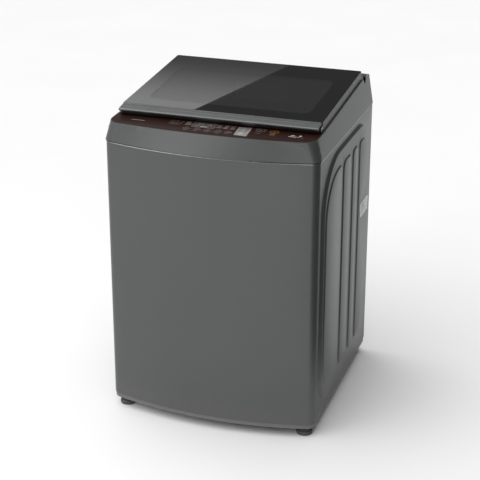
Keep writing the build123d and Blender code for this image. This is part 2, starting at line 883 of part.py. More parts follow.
with BuildPart() as display_window:
    with BuildSketch(panel_plane.offset(-plate_thickness)):
        with Locations((display_x, display_y)):
            Rectangle(display_width, display_depth)
    extrude(amount=plate_thickness + 0.1)
    with BuildSketch(panel_plane.offset(-plate_thickness)):
        with Locations((display_x, display_y)):
            Rectangle(display_width + 2 * display_flange, display_depth + 2 * display_flange)
    extrude(amount=-1.2)

save(display_window, "display_window")

with BuildPart() as control_board:
    with BuildSketch(panel_plane.offset(-plate_thickness - board_drop)):
        with Locations(((window_left + window_right) / 2, (window_front + window_rear) / 2)):
            Rectangle(window_right - window_left - 3.0, window_rear - window_front - 3.0)
    extrude(amount=-board_thickness)
    with BuildSketch(panel_plane.offset(-plate_thickness - board_drop - board_thickness)):
        with Locations((-60.0, -50.0), (20.0, -50.0), (60.0, -40.0)):
            Rectangle(34.0, 28.0)
        with Locations((120.0, -50.0)):
            Circle(14.0)
    extrude(amount=-14.0)
    with BuildSketch(panel_plane.offset(-plate_thickness - board_drop)):
        with Locations((display_x, display_y)):
            Rectangle(display_width, display_depth)
    extrude(amount=board_drop - 2.0)

save(control_board, "control_board")

for name in key_places:
    with BuildPart() as key:
        with BuildSketch(panel_plane.offset(-plate_thickness - key_sink)):
            add(key_outline(name, 0.0))
        extrude(amount=plate_thickness + key_sink + key_stand)
        with BuildSketch(panel_plane.offset(-plate_thickness - key_sink)):
            add(key_outline(name, key_flange))
        extrude(amount=-key_flange_thickness)
        with BuildSketch(panel_plane.offset(-plate_thickness - key_sink - key_flange_thickness)):
            with Locations(key_places[name]):
                Circle(key_stem_radius)
        extrude(amount=-(board_drop - key_sink - key_flange_thickness - key_travel - stem_gap))
    save(key, name)

# ---------------------------------------------------------------- lid

frame_top = lid_gap + lid_height - glass_thickness
lid_side_draft = 4.0
liner_thickness = 2.0
window_half = lid_half_width - lid_border
lid_length = lid_rear - lid_front
lid_middle = (lid_rear + lid_front) / 2
lid_rear_y = panel_rear_y + lid_rear * cos(radians(rim_slope))
arm_thickness = lid_wall - 0.2


def rim_level(height):
    """Plane parallel to the rim, a height above it."""
    return rim_plane.offset(height)


with BuildPart() as lid_frame:
    with BuildSketch(rim_level(lid_gap)):
        with Locations((0, lid_middle)):
            RectangleRounded(2 * lid_half_width, lid_length, lid_corner_radius)
    extrude(amount=frame_top - lid_gap, taper=lid_side_draft)
    with BuildSketch(rim_level(lid_gap)):
        with Locations((0, lid_middle)):
            RectangleRounded(
                2 * (lid_half_width - lid_wall), lid_length - 2 * lid_wall, lid_corner_radius - 2.0
            )
    extrude(amount=frame_top - lid_gap - lid_wall, taper=lid_side_draft, mode=Mode.SUBTRACT)
    with BuildSketch(rim_level(lid_gap)):
        with Locations((0, lid_middle)):
            RectangleRounded(2 * window_half, lid_length - 2 * lid_border, lid_window_radius)
    extrude(amount=frame_top - lid_gap)
    with BuildSketch(rim_level(lid_gap)):
        with Locations((0, lid_middle)):
            RectangleRounded(
                2 * (window_half - lid_wall),
                lid_length - 2 * (lid_border + lid_wall),
                lid_window_radius - 2.0,
            )
    extrude(amount=frame_top, mode=Mode.SUBTRACT)
    for x in (barrel_inner_x, -barrel_outer_x):
        with BuildSketch(hinge_side(x)):
            Circle(barrel_radius)
            with Locations((lid_rear_y - hinge_y - arm_thickness / 2, 10.5)):
                Rectangle(arm_thickness, 11.0)
            make_hull()
        extrude(amount=barrel_outer_x - barrel_inner_x)
        with BuildSketch(hinge_side(x)):
            Circle(hinge_pin_radius + hinge_fit)
        extrude(amount=barrel_outer_x - barrel_inner_x, mode=Mode.SUBTRACT)

save(lid_frame, "lid_frame")

def bolt_plane(x):
    """Plane across the lock bolt, which passes through the striker's hole."""
    middle = rim_plane.from_local_coords((x, lock_s, lid_gap - striker_drop + 5.0))
    return Plane(origin=middle, x_dir=(0, 1, 0), z_dir=(1, 0, 0))


with BuildPart() as lid_liner:
    with BuildSketch(rim_level(lid_gap)):
        with Locations((0, lid_middle)):
            RectangleRounded(
                2 * (lid_half_width - lid_wall - liner_gap),
                lid_length - 2 * (lid_wall + liner_gap),
                lid_corner_radius - 2.0,
            )
            RectangleRounded(
                2 * (window_half + liner_gap),
                lid_length - 2 * (lid_border - liner_gap),
                lid_window_radius,
                mode=Mode.SUBTRACT,
            )
    extrude(amount=liner_thickness)
    with BuildSketch(rim_level(lid_gap)):
        with Locations((lock_x, lock_s)):
            Rectangle(striker_thickness, striker_length)
    extrude(amount=-striker_drop)
    with BuildSketch(bolt_plane(lock_x - striker_length)):
        Circle(bolt_radius + 0.4)
    extrude(amount=2 * striker_length, mode=Mode.SUBTRACT)

save(lid_liner, "lid_liner")

glass_top = lid_gap + lid_height
glass_margin = 1.5
glass_joint = 0.3
glass_chamfer = 0.8

with BuildPart() as lid_glass:
    with BuildSketch(rim_level(frame_top)):
        with Locations((0, lid_middle + glass_joint / 2)):
            RectangleRounded(
                2 * (lid_half_width - glass_margin),
                lid_length - glass_joint - glass_margin,
                lid_corner_radius,
            )
    extrude(amount=glass_thickness)
    chamfer(lid_glass.faces().sort_by(Axis.Z)[-1].edges(), glass_chamfer)

save(lid_glass, "lid_glass")

# Brushed strip along the lid's front, and the dark bar set back under it for the fingers.
grip_end = 4.0
grip_edge_radius = 2.5
bar_lift = 1.5
grip_front = lid_front - grip_depth
grip_under = glass_top - grip_lip
bar_setback = 12.0
bar_front = grip_front + bar_setback
bar_end_radius = 8.0


def grip_underside(s):
    """Height of the strip's underside above the rim, which slopes down to its front."""
    return grip_under - grip_drop * (lid_front - s) / grip_depth


rim_profile_plane = Plane(
    origin=rim_plane.origin, x_dir=rim_plane.y_dir, z_dir=(1, 0, 0)
)

with BuildPart() as lid_grip:
    with BuildSketch(rim_profile_plane) as grip_profile:
        with BuildLine():
            Polyline(
                (lid_front, grip_under),
                (lid_front, glass_top),
                (grip_front, glass_top - grip_drop),
                (grip_front, grip_underside(grip_front)),
                close=True,
            )
        make_face()
        fillet(grip_profile.vertices().group_by(Axis.X)[0], grip_edge_radius)
    extrude(amount=lid_half_width - grip_end, both=True)

save(lid_grip, "lid_grip")

with BuildPart() as lid_front_bar:
    with BuildSketch(rim_level(lid_gap)):
        with Locations((0, (bar_front + lid_front) / 2)):
            Rectangle(2 * lid_half_width, lid_front - bar_front)
    extrude(amount=lid_height)
    upright = Axis(rim_plane.origin, rim_plane.z_dir)
    fillet(lid_front_bar.edges().filter_by(upright).group_by(Axis.Y)[0], bar_end_radius)
    with BuildSketch(rim_profile_plane):
        with BuildLine():
            Polyline(
                (lid_front, lid_gap),
                (lid_front, grip_underside(lid_front)),
                (bar_front, grip_underside(bar_front)),
                (bar_front, lid_gap + bar_lift),
                close=True,
            )
        make_face()
    extrude(amount=lid_half_width, both=True, mode=Mode.INTERSECT)

save(lid_front_bar, "lid_front_bar")

with BuildPart() as hinge_pins:
    for x in (ear_inner_x - 2.0, -barrel_outer_x):
        with BuildSketch(hinge_side(x)):
            Circle(hinge_pin_radius)
        extrude(amount=barrel_outer_x - ear_inner_x + 2.0)

save(hinge_pins, "hinge_pins")

# ---------------------------------------------------------------- lid lock

lock_left = lock_x - lock_slot_width / 2 - 8.0
lock_right = lock_x + 42.0
lock_width = 36.0
lock_height = 26.0
bolt_length = 24.0
bolt_start = lock_x + striker_thickness / 2 + 3.5
bolt_fit = 0.1

with BuildPart() as lid_lock:
    with BuildSketch(rim_level(-top_plate)):
        with Locations(((lock_left + lock_right) / 2, lock_s)):
            Rectangle(lock_right - lock_left, lock_width)
    extrude(amount=-lock_height)
    with BuildSketch(rim_level(-top_plate)):
        with Locations((lock_x, lock_s)):
            Rectangle(lock_slot_width, lock_slot_length)
    extrude(amount=-striker_drop - 3.0, mode=Mode.SUBTRACT)
    with BuildSketch(bolt_plane(lock_x)):
        Circle(bolt_radius + bolt_fit)
    extrude(amount=bolt_start + bolt_length + 2.0 - lock_x, mode=Mode.SUBTRACT)

save(lid_lock, "lid_lock")

with BuildPart() as lid_lock_bolt:
    with BuildSketch(bolt_plane(bolt_start)):
        Circle(bolt_radius)
    extrude(amount=bolt_length)
    chamfer(lid_lock_bolt.faces().sort_by(Axis.X)[0].edges(), 0.6)

save(lid_lock_bolt, "lid_lock_bolt")

# ---------------------------------------------------------------- detergent drawer and water inlet

housing_half = drawer_room + housing_wall
housing_floor = drawer_bottom - housing_wall
housing_ceiling = drawer_bottom + drawer_height + 2 * drawer_clearance + 2.0
housing_rear = collar_rear + drawer_depth + housing_wall
running_gap = 0.3

with BuildPart() as detergent_housing:
    with BuildSketch(Plane.XY.offset(housing_floor)):
        with Locations((0, (collar_rear + housing_rear) / 2)):
            Rectangle(2 * housing_half, housing_rear - collar_rear)
    extrude(amount=housing_ceiling + housing_wall - housing_floor)
    with BuildSketch(Plane.XY.offset(drawer_bottom)):
        with Locations((0, (collar_rear + housing_rear) / 2 - housing_wall)):
            Rectangle(2 * drawer_room, housing_rear - collar_rear)
    extrude(amount=housing_ceiling - drawer_bottom, mode=Mode.SUBTRACT)
    with BuildSketch(Plane.XY.offset(housing_ceiling)):
        with Locations((0, (collar_rear + housing_rear) / 2)):
            with GridLocations(16.0, 16.0, 8, 3):
                Circle(1.5)
    extrude(amount=housing_wall, mode=Mode.SUBTRACT)

save(detergent_housing, "detergent_housing")

drawer_front_thickness = 5.0
drawer_length = drawer_depth - 2.0
room_width = (drawer_width - 3 * drawer_wall) / 2
room_length = drawer_length - drawer_front_thickness - drawer_wall

with BuildPart() as dispenser_drawer:
    with BuildSketch(Plane.XY.offset(drawer_bottom + running_gap)):
        with Locations((0, drawer_y + drawer_length / 2)):
            Rectangle(drawer_width, drawer_length)
    extrude(amount=drawer_height)
    with BuildSketch(Plane.XY.offset(drawer_bottom + running_gap + drawer_wall)):
        with Locations((0, drawer_y + drawer_front_thickness + room_length / 2)):
            with GridLocations(room_width + drawer_wall, 0, 2, 1):
                RectangleRounded(room_width, room_length, 5.0)
    extrude(amount=drawer_height, mode=Mode.SUBTRACT)
    with BuildSketch(Plane.XZ.offset(-drawer_y)):
        with Locations((0, drawer_bottom + drawer_height / 2)):
            SlotOverall(60.0, 14.0)
    extrude(amount=-3.0, mode=Mode.SUBTRACT)

save(dispenser_drawer, "dispenser_drawer")

inlet_back_y = housing_rear
inlet_floor_y = inlet_back_y + 8.0
inlet_tip_y = rear_y - 9.0

with BuildPart() as water_inlet_valve:
    with BuildSketch(Plane.XZ.offset(-inlet_floor_y + inlet_wall)):
        with Locations((0, inlet_height)):
            RectangleRounded(inlet_cup_width, inlet_cup_height, 5.0)
    extrude(amount=-inlet_cup_depth - 20.0)
    with BuildSketch(Plane.XZ.offset(-inlet_floor_y)):
        with Locations((0, inlet_height)):
            RectangleRounded(inlet_cup_width - 2 * inlet_wall, inlet_cup_height - 2 * inlet_wall, 3.0)
    extrude(amount=-inlet_cup_depth - 20.0, mode=Mode.SUBTRACT)
    with BuildSketch(Plane.XZ.offset(-inlet_back_y)):
        with Locations((0, inlet_height)):
            Rectangle(inlet_spacing + 34.0, inlet_cup_height - 8.0)
    extrude(amount=-(inlet_floor_y - inlet_back_y))
    with BuildSketch(Plane.XZ.offset(-inlet_floor_y)):
        with Locations((0, inlet_height)):
            with GridLocations(inlet_spacing, 0, 2, 1):
                Circle(inlet_radius)
    extrude(amount=-(inlet_tip_y - inlet_floor_y))
    with BuildSketch(Plane.XZ.offset(-inlet_floor_y)):
        with Locations((0, inlet_height)):
            with GridLocations(inlet_spacing, 0, 2, 1):
                Circle(inlet_bore)
    extrude(amount=-(inlet_tip_y - inlet_floor_y), mode=Mode.SUBTRACT)
    add(cover_inner, mode=Mode.INTERSECT)

save(water_inlet_valve, "water_inlet_valve")

# ---------------------------------------------------------------- suspension

rod_clear = 0.4
head_radius = 10.0
head_height = 10.0
cap_radius = 14.0
cap_height = 5.0
rod_margin = bracket_size / 2 - 2.0

with BuildPart() as suspension_brackets:
    with BuildSketch(Plane.XY.offset(bracket_height)):
        add(cabinet_outline(sheet + 0.3))
        Rectangle(2 * (rod_x - rod_margin), 2 * body_depth, mode=Mode.SUBTRACT)
        with Locations((0, rear_inner_y - 0.3 + body_depth / 2)):
            Rectangle(body_width, body_depth, mode=Mode.SUBTRACT)
        with Locations((0, (rod_front_y + rod_rear_y) / 2)):
            Rectangle(body_width, rod_rear_y - rod_front_y - 2 * rod_margin, mode=Mode.SUBTRACT)
        with Locations(*rod_places):
            Circle(rod_radius + rod_clear, mode=Mode.SUBTRACT)
    extrude(amount=bracket_thickness)

save(suspension_brackets, "suspension_brackets")

rod_top = bracket_height + bracket_thickness

with BuildPart() as suspension_rods:
    with BuildSketch(Plane.XY.offset(rod_bottom)):
        with Locations(*rod_places):
            Circle(rod_radius)
    extrude(amount=rod_top - rod_bottom + 2.0)
    with BuildSketch(Plane.XY.offset(rod_top)):
        with Locations(*rod_places):
            Circle(head_radius)
    extrude(amount=head_height, taper=25)
    with BuildSketch(Plane.XY.offset(rod_bottom)):
        with Locations(*rod_places):
            Circle(cap_radius)
    extrude(amount=cap_height)

save(suspension_rods, "suspension_rods")

with BuildPart() as suspension_springs:
    with BuildSketch(Plane.XY.offset(rod_bottom + cap_height)):
        with Locations(*rod_places):
            Circle(spring_radius)
            Circle(spring_bore, mode=Mode.SUBTRACT)
    extrude(amount=lug_bottom - rod_bottom - cap_height)

save(suspension_springs, "suspension_springs")

# ---------------------------------------------------------------- tub

neck_radius = 28.0
neck_clear = 0.3
lug_hole = 8.0
lug_end = 18.0
tub_corner = 24.0


def turned(points):
    """Closed profile of radius and height, ready to revolve about the upright axis."""
    with BuildSketch(Plane.XZ) as profile:
        with BuildLine():
            Polyline(*points, close=True)
        make_face()
    return profile.sketch


with BuildPart() as outer_tub:
    with BuildSketch(Plane.XY.offset(tub_bottom)):
        Circle(tub_radius)
    extrude(amount=tub_top - tub_bottom)
    fillet(outer_tub.faces().sort_by(Axis.Z)[0].edges(), tub_corner)
    offset(amount=-tub_wall, openings=outer_tub.faces().sort_by(Axis.Z)[-1])
    with BuildSketch(Plane.XY.offset(tub_bottom)):
        Circle(neck_radius + neck_clear)
    extrude(amount=2 * tub_wall, mode=Mode.SUBTRACT)
    with BuildSketch(Plane.XY.offset(lug_bottom)):
        for x, y in rod_places:
            reach = hypot(x, y) + lug_end
            middle = (reach + tub_radius - 10.0) / 2
            with Locations((x / hypot(x, y) * middle, y / hypot(x, y) * middle)):
                Rectangle(reach - tub_radius + 10.0, lug_width, rotation=degrees(atan2(y, x)))
        Circle(tub_radius - tub_wall / 2, mode=Mode.SUBTRACT)
        with Locations(*rod_places):
            Circle(lug_hole, mode=Mode.SUBTRACT)
    extrude(amount=lug_thickness)

save(outer_tub, "outer_tub")

ring_lap = 12.0
ring_clear = 0.4

with BuildPart() as tub_ring:
    ring_top = tub_top + tub_ring_height
    ring_outer = tub_radius + ring_clear + tub_wall
    add(
        turned(
            (
                (tub_mouth_radius, tub_top + 6.0),
                (tub_mouth_radius, ring_top),
                (ring_outer, ring_top - 6.0),
                (ring_outer, tub_top - ring_lap),
                (tub_radius + ring_clear, tub_top - ring_lap),
                (tub_radius + ring_clear, tub_top),
                (tub_mouth_radius + 16.0, tub_top),
            )
        )
    )
    revolve(axis=Axis.Z)

save(tub_ring, "tub_ring")

support_left = -180.0
support_right = 240.0
support_depth = 180.0
stand_radius = 14.0
stand_places = [(-150.0, -60.0), (-150.0, 60.0), (80.0, -70.0), (80.0, 70.0)]
gear_flange = 80.0
gear_flange_thickness = 6.0
input_radius = 8.0
neck_top = basket_bottom - 12.0

with BuildPart() as support_plate:
    with BuildSketch(Plane.XY.offset(plate_bottom)):
        with Locations(((support_left + support_right) / 2, 0)):
            RectangleRounded(support_right - support_left, support_depth, 60.0)
        Circle(neck_radius + neck_clear, mode=Mode.SUBTRACT)
        with Locations((motor_x, 0)):
            Circle(12.0, mode=Mode.SUBTRACT)
    extrude(amount=support_thickness)
    with BuildSketch(Plane.XY.offset(plate_bottom + support_thickness)):
        with Locations(*stand_places):
            Circle(stand_radius)
    extrude(amount=tub_bottom - plate_bottom - support_thickness)

save(support_plate, "support_plate")

with BuildPart() as gearcase:
    with BuildSketch(Plane.XY.offset(gearcase_bottom)):
        Circle(gearcase_radius)
    extrude(amount=plate_bottom - gearcase_bottom)
    with BuildSketch(Plane.XY.offset(plate_bottom - gear_flange_thickness)):
        Circle(gear_flange)
    extrude(amount=gear_flange_thickness)
    with BuildSketch(Plane.XY.offset(plate_bottom)):
        Circle(neck_radius)
    extrude(amount=neck_top - plate_bottom)
    with BuildSketch(Plane.XY.offset(gearcase_bottom + 32.0)):
        Circle(tube_radius + shaft_fit)
    extrude(amount=neck_top - gearcase_bottom, mode=Mode.SUBTRACT)
    with BuildSketch(Plane.XY.offset(gearcase_bottom)):
        Circle(input_radius + shaft_fit)
    extrude(amount=26.0, mode=Mode.SUBTRACT)

save(gearcase, "gearcase")

motor_bottom = gearcase_bottom + 2.0
motor_shaft_radius = 6.0

with BuildPart() as drive_motor:
    with BuildSketch(Plane.XY.offset(motor_bottom)):
        with Locations((motor_x, 0)):
            Circle(motor_radius)
    extrude(amount=plate_bottom - motor_bottom)
    chamfer(drive_motor.edges().filter_by(GeomType.CIRCLE).group_by(Axis.Z)[0], 6.0)
    with BuildSketch(Plane.XY.offset(motor_bottom)):
        with Locations((motor_x, 0)):
            Circle(motor_shaft_radius + shaft_fit)
    extrude(amount=30.0, mode=Mode.SUBTRACT)

save(drive_motor, "drive_motor")

valve_y = 150.0
valve_radius = 28.0
valve_bottom = 98.0
valve_spigot_end = 205.0
hose_clear = 0.3
hose_wall = 3.0
hose_start = 186.0
hose_end = 258.0

with BuildPart() as drain_valve:
    with BuildSketch(Plane.XY.offset(valve_bottom)):
        with Locations((drain_x, valve_y)):
            Circle(valve_radius)
    extrude(amount=tub_bottom - valve_bottom)
    with BuildSketch(Plane.XZ.offset(-valve_y)):
        with Locations((drain_x, drain_height)):
            Circle(drain_radius)
    extrude(amount=valve_y - valve_spigot_end)
    with BuildSketch(Plane.XZ.offset(-valve_y)):
        with Locations((drain_x, drain_height)):
            Circle(drain_radius - drain_wall)
    extrude(amount=valve_y - valve_spigot_end, mode=Mode.SUBTRACT)

save(drain_valve, "drain_valve")

with BuildPart() as drain_hose:
    with BuildSketch(Plane.XZ.offset(-hose_start)):
        with Locations((drain_x, drain_height)):
            Circle(drain_radius + hose_clear + hose_wall)
            Circle(drain_radius + hose_clear, mode=Mode.SUBTRACT)
    extrude(amount=hose_start - hose_end)

save(drain_hose, "drain_hose")

# ---------------------------------------------------------------- basket

basket_corner = 20.0
hub_flange_radius = 95.0
hub_thickness = 10.0
rail_width = 6.0
rail_depth = 14.0
rail_gap = 0.4
filter_back = basket_radius - basket_wall - 0.4

with BuildPart() as wash_basket:
    with BuildSketch(Plane.XY.offset(basket_bottom)):
        Circle(basket_radius)
    extrude(amount=basket_top - basket_bottom)
    fillet(wash_basket.faces().sort_by(Axis.Z)[0].edges(), basket_corner)
    offset(amount=-basket_wall, openings=wash_basket.faces().sort_by(Axis.Z)[-1])
    with BuildSketch(Plane.XY.offset(basket_bottom)):
        Circle(tube_radius + 2.0)
    extrude(amount=2 * basket_wall, mode=Mode.SUBTRACT)
    with BuildSketch(Plane.XY.offset(filter_bottom - 6.0)):
        with Locations((0, basket_radius - rail_depth)):
            with GridLocations(filter_width + rail_width + 2 * rail_gap, 0, 2, 1):
                Rectangle(rail_width, 2 * rail_depth)
        with BuildSketch(mode=Mode.PRIVATE) as bore:
            Circle(basket_radius - basket_wall / 2)
        add(bore.sketch, mode=Mode.INTERSECT)
    extrude(amount=filter_height + 12.0)

save(wash_basket, "wash_basket")

with BuildPart() as balance_ring:
    with BuildSketch(Plane.XY.offset(basket_top)):
        Circle(balance_outer)
        Circle(balance_inner, mode=Mode.SUBTRACT)
    extrude(amount=balance_height)
    fillet(balance_ring.edges().filter_by(GeomType.CIRCLE).group_by(Axis.Z)[-1], 12.0)

save(balance_ring, "balance_ring")

with BuildPart() as basket_hub:
    with BuildSketch(Plane.XY.offset(basket_bottom - hub_thickness)):
        Circle(hub_flange_radius)
    extrude(amount=hub_thickness)
    with BuildSketch(Plane.XY.offset(gearcase_bottom + 34.0)):
        Circle(tube_radius)
    extrude(amount=basket_bottom - hub_thickness - gearcase_bottom - 34.0)
    with BuildSketch(Plane.XY.offset(gearcase_bottom)):
        Circle(shaft_radius + shaft_fit)
    extrude(amount=basket_bottom, mode=Mode.SUBTRACT)

save(basket_hub, "basket_hub")

with BuildPart() as lint_filter:
    with BuildSketch(Plane.XY.offset(filter_bottom)):
        with Locations((0, filter_back - filter_thickness)):
            Rectangle(filter_width, 2 * filter_thickness)
        with BuildSketch(mode=Mode.PRIVATE) as bore:
            Circle(filter_back)
        add(bore.sketch, mode=Mode.INTERSECT)
        with Locations((0, filter_back - 2 * filter_thickness - 10.0)):
            Rectangle(filter_width, 2 * filter_thickness, mode=Mode.SUBTRACT)
    extrude(amount=filter_height)
    with BuildSketch(Plane.XZ):
        with Locations((0, filter_bottom + filter_height / 2)):
            with GridLocations(0, 20.0, 1, 6):
                SlotOverall(filter_width - 24.0, 10.0)
    extrude(amount=-filter_back + 9.0, mode=Mode.SUBTRACT)

save(lint_filter, "lint_filter")

# ---------------------------------------------------------------- pulsator and its drive

pulsator_bottom = basket_bottom + basket_wall + pulsator_gap
pulsator_top = pulsator_bottom + pulsator_height
pulsator_cap_radius = 26.0
fin_width = 14.0
fin_rise = 26.0

with BuildPart() as pulsator:
    add(
        turned(
            (
                (shaft_radius + shaft_fit, pulsator_bottom),
                (pulsator_radius, pulsator_bottom),
                (pulsator_radius, pulsator_bottom + 5.0),
                (pulsator_radius - 16.0, pulsator_bottom + 10.0),
                (pulsator_cap_radius + 34.0, pulsator_bottom + 20.0),
                (pulsator_cap_radius + 6.0, pulsator_top),
                (pulsator_cap_radius, pulsator_top),
                (pulsator_cap_radius, pulsator_top - 5.0),
                (shaft_radius + shaft_fit, pulsator_top - 5.0),
            )
        )
    )
    revolve(axis=Axis.Z)
    with BuildSketch(Plane.XY.offset(pulsator_bottom + 4.0)):
        with PolarLocations((pulsator_cap_radius + pulsator_radius) / 2, fin_count):
            SlotOverall(pulsator_radius - pulsator_cap_radius - 22.0, fin_width)
    extrude(amount=fin_rise, taper=8)

save(pulsator, "pulsator")

with BuildPart() as pulsator_cap:
    with BuildSketch(Plane.XY.offset(pulsator_top - 5.0)):
        Circle(pulsator_cap_radius - 0.3)
    extrude(amount=8.0)
    fillet(pulsator_cap.edges().filter_by(GeomType.CIRCLE).group_by(Axis.Z)[-1], 2.5)

save(pulsator_cap, "pulsator_cap")

with BuildPart() as drive_shaft:
    with BuildSketch(Plane.XY.offset(gearcase_bottom + 36.0)):
        Circle(shaft_radius)
    extrude(amount=pulsator_top - 5.3 - gearcase_bottom - 36.0)

save(drive_shaft, "drive_shaft")

groove_depth = 5.0
pulley_flange = 2.5
belt_side_gap = 0.5
belt_lift = pulley_flange + belt_side_gap


def pulley_profile(radius, bore_top, spindle):
    """Grooved pulley with its spindle, as radius and height."""
    top = pulley_bottom + pulley_width
    return turned(
        (
            (0, pulley_bottom),
            (radius, pulley_bottom),
            (radius, pulley_bottom + pulley_flange),
            (radius - groove_depth, pulley_bottom + pulley_flange),
            (radius - groove_depth, top - pulley_flange),
            (radius, top - pulley_flange),
            (radius, top),
            (spindle, top),
            (spindle, bore_top),
            (0, bore_top),
        )
    )


with BuildPart() as drive_pulley:
    add(pulley_profile(pulley_radius, gearcase_bottom + 24.0, input_radius))
    revolve(axis=Axis.Z)
    with BuildSketch(Plane.XY.offset(pulley_bottom)):
        with PolarLocations(pulley_radius / 2 + 4.0, 5):
            Circle(14.0)
    extrude(amount=pulley_width, mode=Mode.SUBTRACT)

save(drive_pulley, "drive_pulley")

with BuildPart() as motor_pulley_form:
    add(pulley_profile(motor_pulley_radius, motor_bottom + 24.0, motor_shaft_radius))
    revolve(axis=Axis.Z)

with BuildPart() as motor_pulley:
    with Locations((motor_x, 0, 0)):
        add(motor_pulley_form.part)

save(motor_pulley, "motor_pulley")

with BuildPart() as drive_belt:
    with BuildSketch(Plane.XY.offset(pulley_bottom + belt_lift)):
        Circle(pulley_radius - groove_depth + belt_gap + belt_thickness)
        with Locations((motor_x, 0)):
            Circle(motor_pulley_radius - groove_depth + belt_gap + belt_thickness)
        make_hull()
    extrude(amount=pulley_width - 2 * belt_lift)
    with BuildSketch(Plane.XY.offset(pulley_bottom + belt_lift)):
        Circle(pulley_radius - groove_depth + belt_gap)
        with Locations((motor_x, 0)):
            Circle(motor_pulley_radius - groove_depth + belt_gap)
        make_hull()
    extrude(amount=pulley_width - 2 * belt_lift, mode=Mode.SUBTRACT)

save(drive_belt, "drive_belt")

# ---------------------------------------------------------------- screws

screw_head_radius = 3.5
screw_head_height = 1.6
screw_radius = 1.7
side_screw_x = half_width - 6.8
side_screw_length = 12.0
service_screws = [
    (service_x + x, service_bottom + service_height / 2 + z)
    for x in (-service_width / 2 + 7.0, service_width / 2 - 7.0)
    for z in (-service_height / 2 + 16.0, service_height / 2 - 16.0)
]

with BuildPart() as body_screws:
    with BuildSketch(cover_plate_plane.offset(sheet)):
        with Locations(*[(-x, z) for x, z in service_screws]):
            Circle(screw_head_radius)
    extrude(amount=screw_head_height)
    for x in (side_screw_x - side_screw_length, -side_screw_x):
        with BuildSketch(side_plane(x)):
            with Locations((side_screw_y, side_screw_height)):
                Circle(screw_radius)
        extrude(amount=side_screw_length)

save(body_screws, "body_screws")
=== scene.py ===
import json
from math import atan2, cos, hypot, pi, radians, sin, tan
from random import Random

import bmesh
import bpy
from mathutils import Matrix, Vector
from mathutils.bvhtree import BVHTree

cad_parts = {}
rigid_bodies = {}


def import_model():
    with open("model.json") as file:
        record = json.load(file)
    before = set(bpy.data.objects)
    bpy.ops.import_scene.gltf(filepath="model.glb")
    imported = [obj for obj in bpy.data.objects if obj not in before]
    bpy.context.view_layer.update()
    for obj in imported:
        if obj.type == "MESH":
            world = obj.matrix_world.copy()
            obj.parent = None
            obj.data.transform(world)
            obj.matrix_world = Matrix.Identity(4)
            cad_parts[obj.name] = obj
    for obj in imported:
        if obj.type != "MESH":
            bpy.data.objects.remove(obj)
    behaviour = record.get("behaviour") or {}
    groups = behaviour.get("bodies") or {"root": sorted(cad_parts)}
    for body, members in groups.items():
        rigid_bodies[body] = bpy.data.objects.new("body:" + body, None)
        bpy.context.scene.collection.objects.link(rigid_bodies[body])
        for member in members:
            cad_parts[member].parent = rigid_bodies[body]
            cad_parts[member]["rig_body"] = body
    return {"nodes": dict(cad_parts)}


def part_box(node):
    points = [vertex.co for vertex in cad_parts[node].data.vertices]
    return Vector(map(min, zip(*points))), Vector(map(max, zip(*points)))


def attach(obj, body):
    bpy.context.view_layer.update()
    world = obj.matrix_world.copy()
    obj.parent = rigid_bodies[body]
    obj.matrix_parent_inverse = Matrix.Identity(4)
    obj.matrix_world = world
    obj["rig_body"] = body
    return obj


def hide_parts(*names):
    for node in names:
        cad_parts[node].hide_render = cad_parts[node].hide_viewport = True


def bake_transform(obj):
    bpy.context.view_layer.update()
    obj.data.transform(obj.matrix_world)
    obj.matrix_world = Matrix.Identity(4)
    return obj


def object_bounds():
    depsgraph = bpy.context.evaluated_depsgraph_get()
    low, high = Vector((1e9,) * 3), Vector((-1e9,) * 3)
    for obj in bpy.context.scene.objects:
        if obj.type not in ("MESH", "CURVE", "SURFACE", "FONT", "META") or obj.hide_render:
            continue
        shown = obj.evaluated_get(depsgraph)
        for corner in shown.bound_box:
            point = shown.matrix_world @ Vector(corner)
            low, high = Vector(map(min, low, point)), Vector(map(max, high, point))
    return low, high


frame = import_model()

cad_low, cad_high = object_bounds()
scene = bpy.context.scene
scene.view_settings.view_transform = "Standard"
mm = 0.001

# ---------------------------------------------------------------- node trees


class Value:
    """A socket of a node tree. Arithmetic on it adds Math nodes."""

    def __init__(self, graph, socket):
        self.graph = graph
        self.socket = socket

    def math(self, operation, *others):
        return self.graph.arithmetic(operation, self, *others)

    def __add__(self, other):
        return self.math("ADD", other)

    def __mul__(self, other):
        return self.math("MULTIPLY", other)

    def __sub__(self, other):
        return self.math("SUBTRACT", other)

    def __rsub__(self, other):
        return self.graph.arithmetic("SUBTRACT", other, self)

    def __truediv__(self, other):
        return self.math("DIVIDE", other)

    def __rtruediv__(self, other):
        return self.graph.arithmetic("DIVIDE", other, self)

    def __abs__(self):
        return self.math("ABSOLUTE")

    __radd__ = __add__
    __rmul__ = __mul__

    def ramp(self, low, high):
        """0 below low, 1 above high, smooth between them."""
        inputs = {"Value": self, "From Min": low, "From Max": high}
        return self.graph.node("ShaderNodeMapRange", {"interpolation_type": "SMOOTHSTEP"}, inputs)

    def other(self, name):
        """Another output of the same node."""
        return Value(self.graph, self.socket.node.outputs[name])


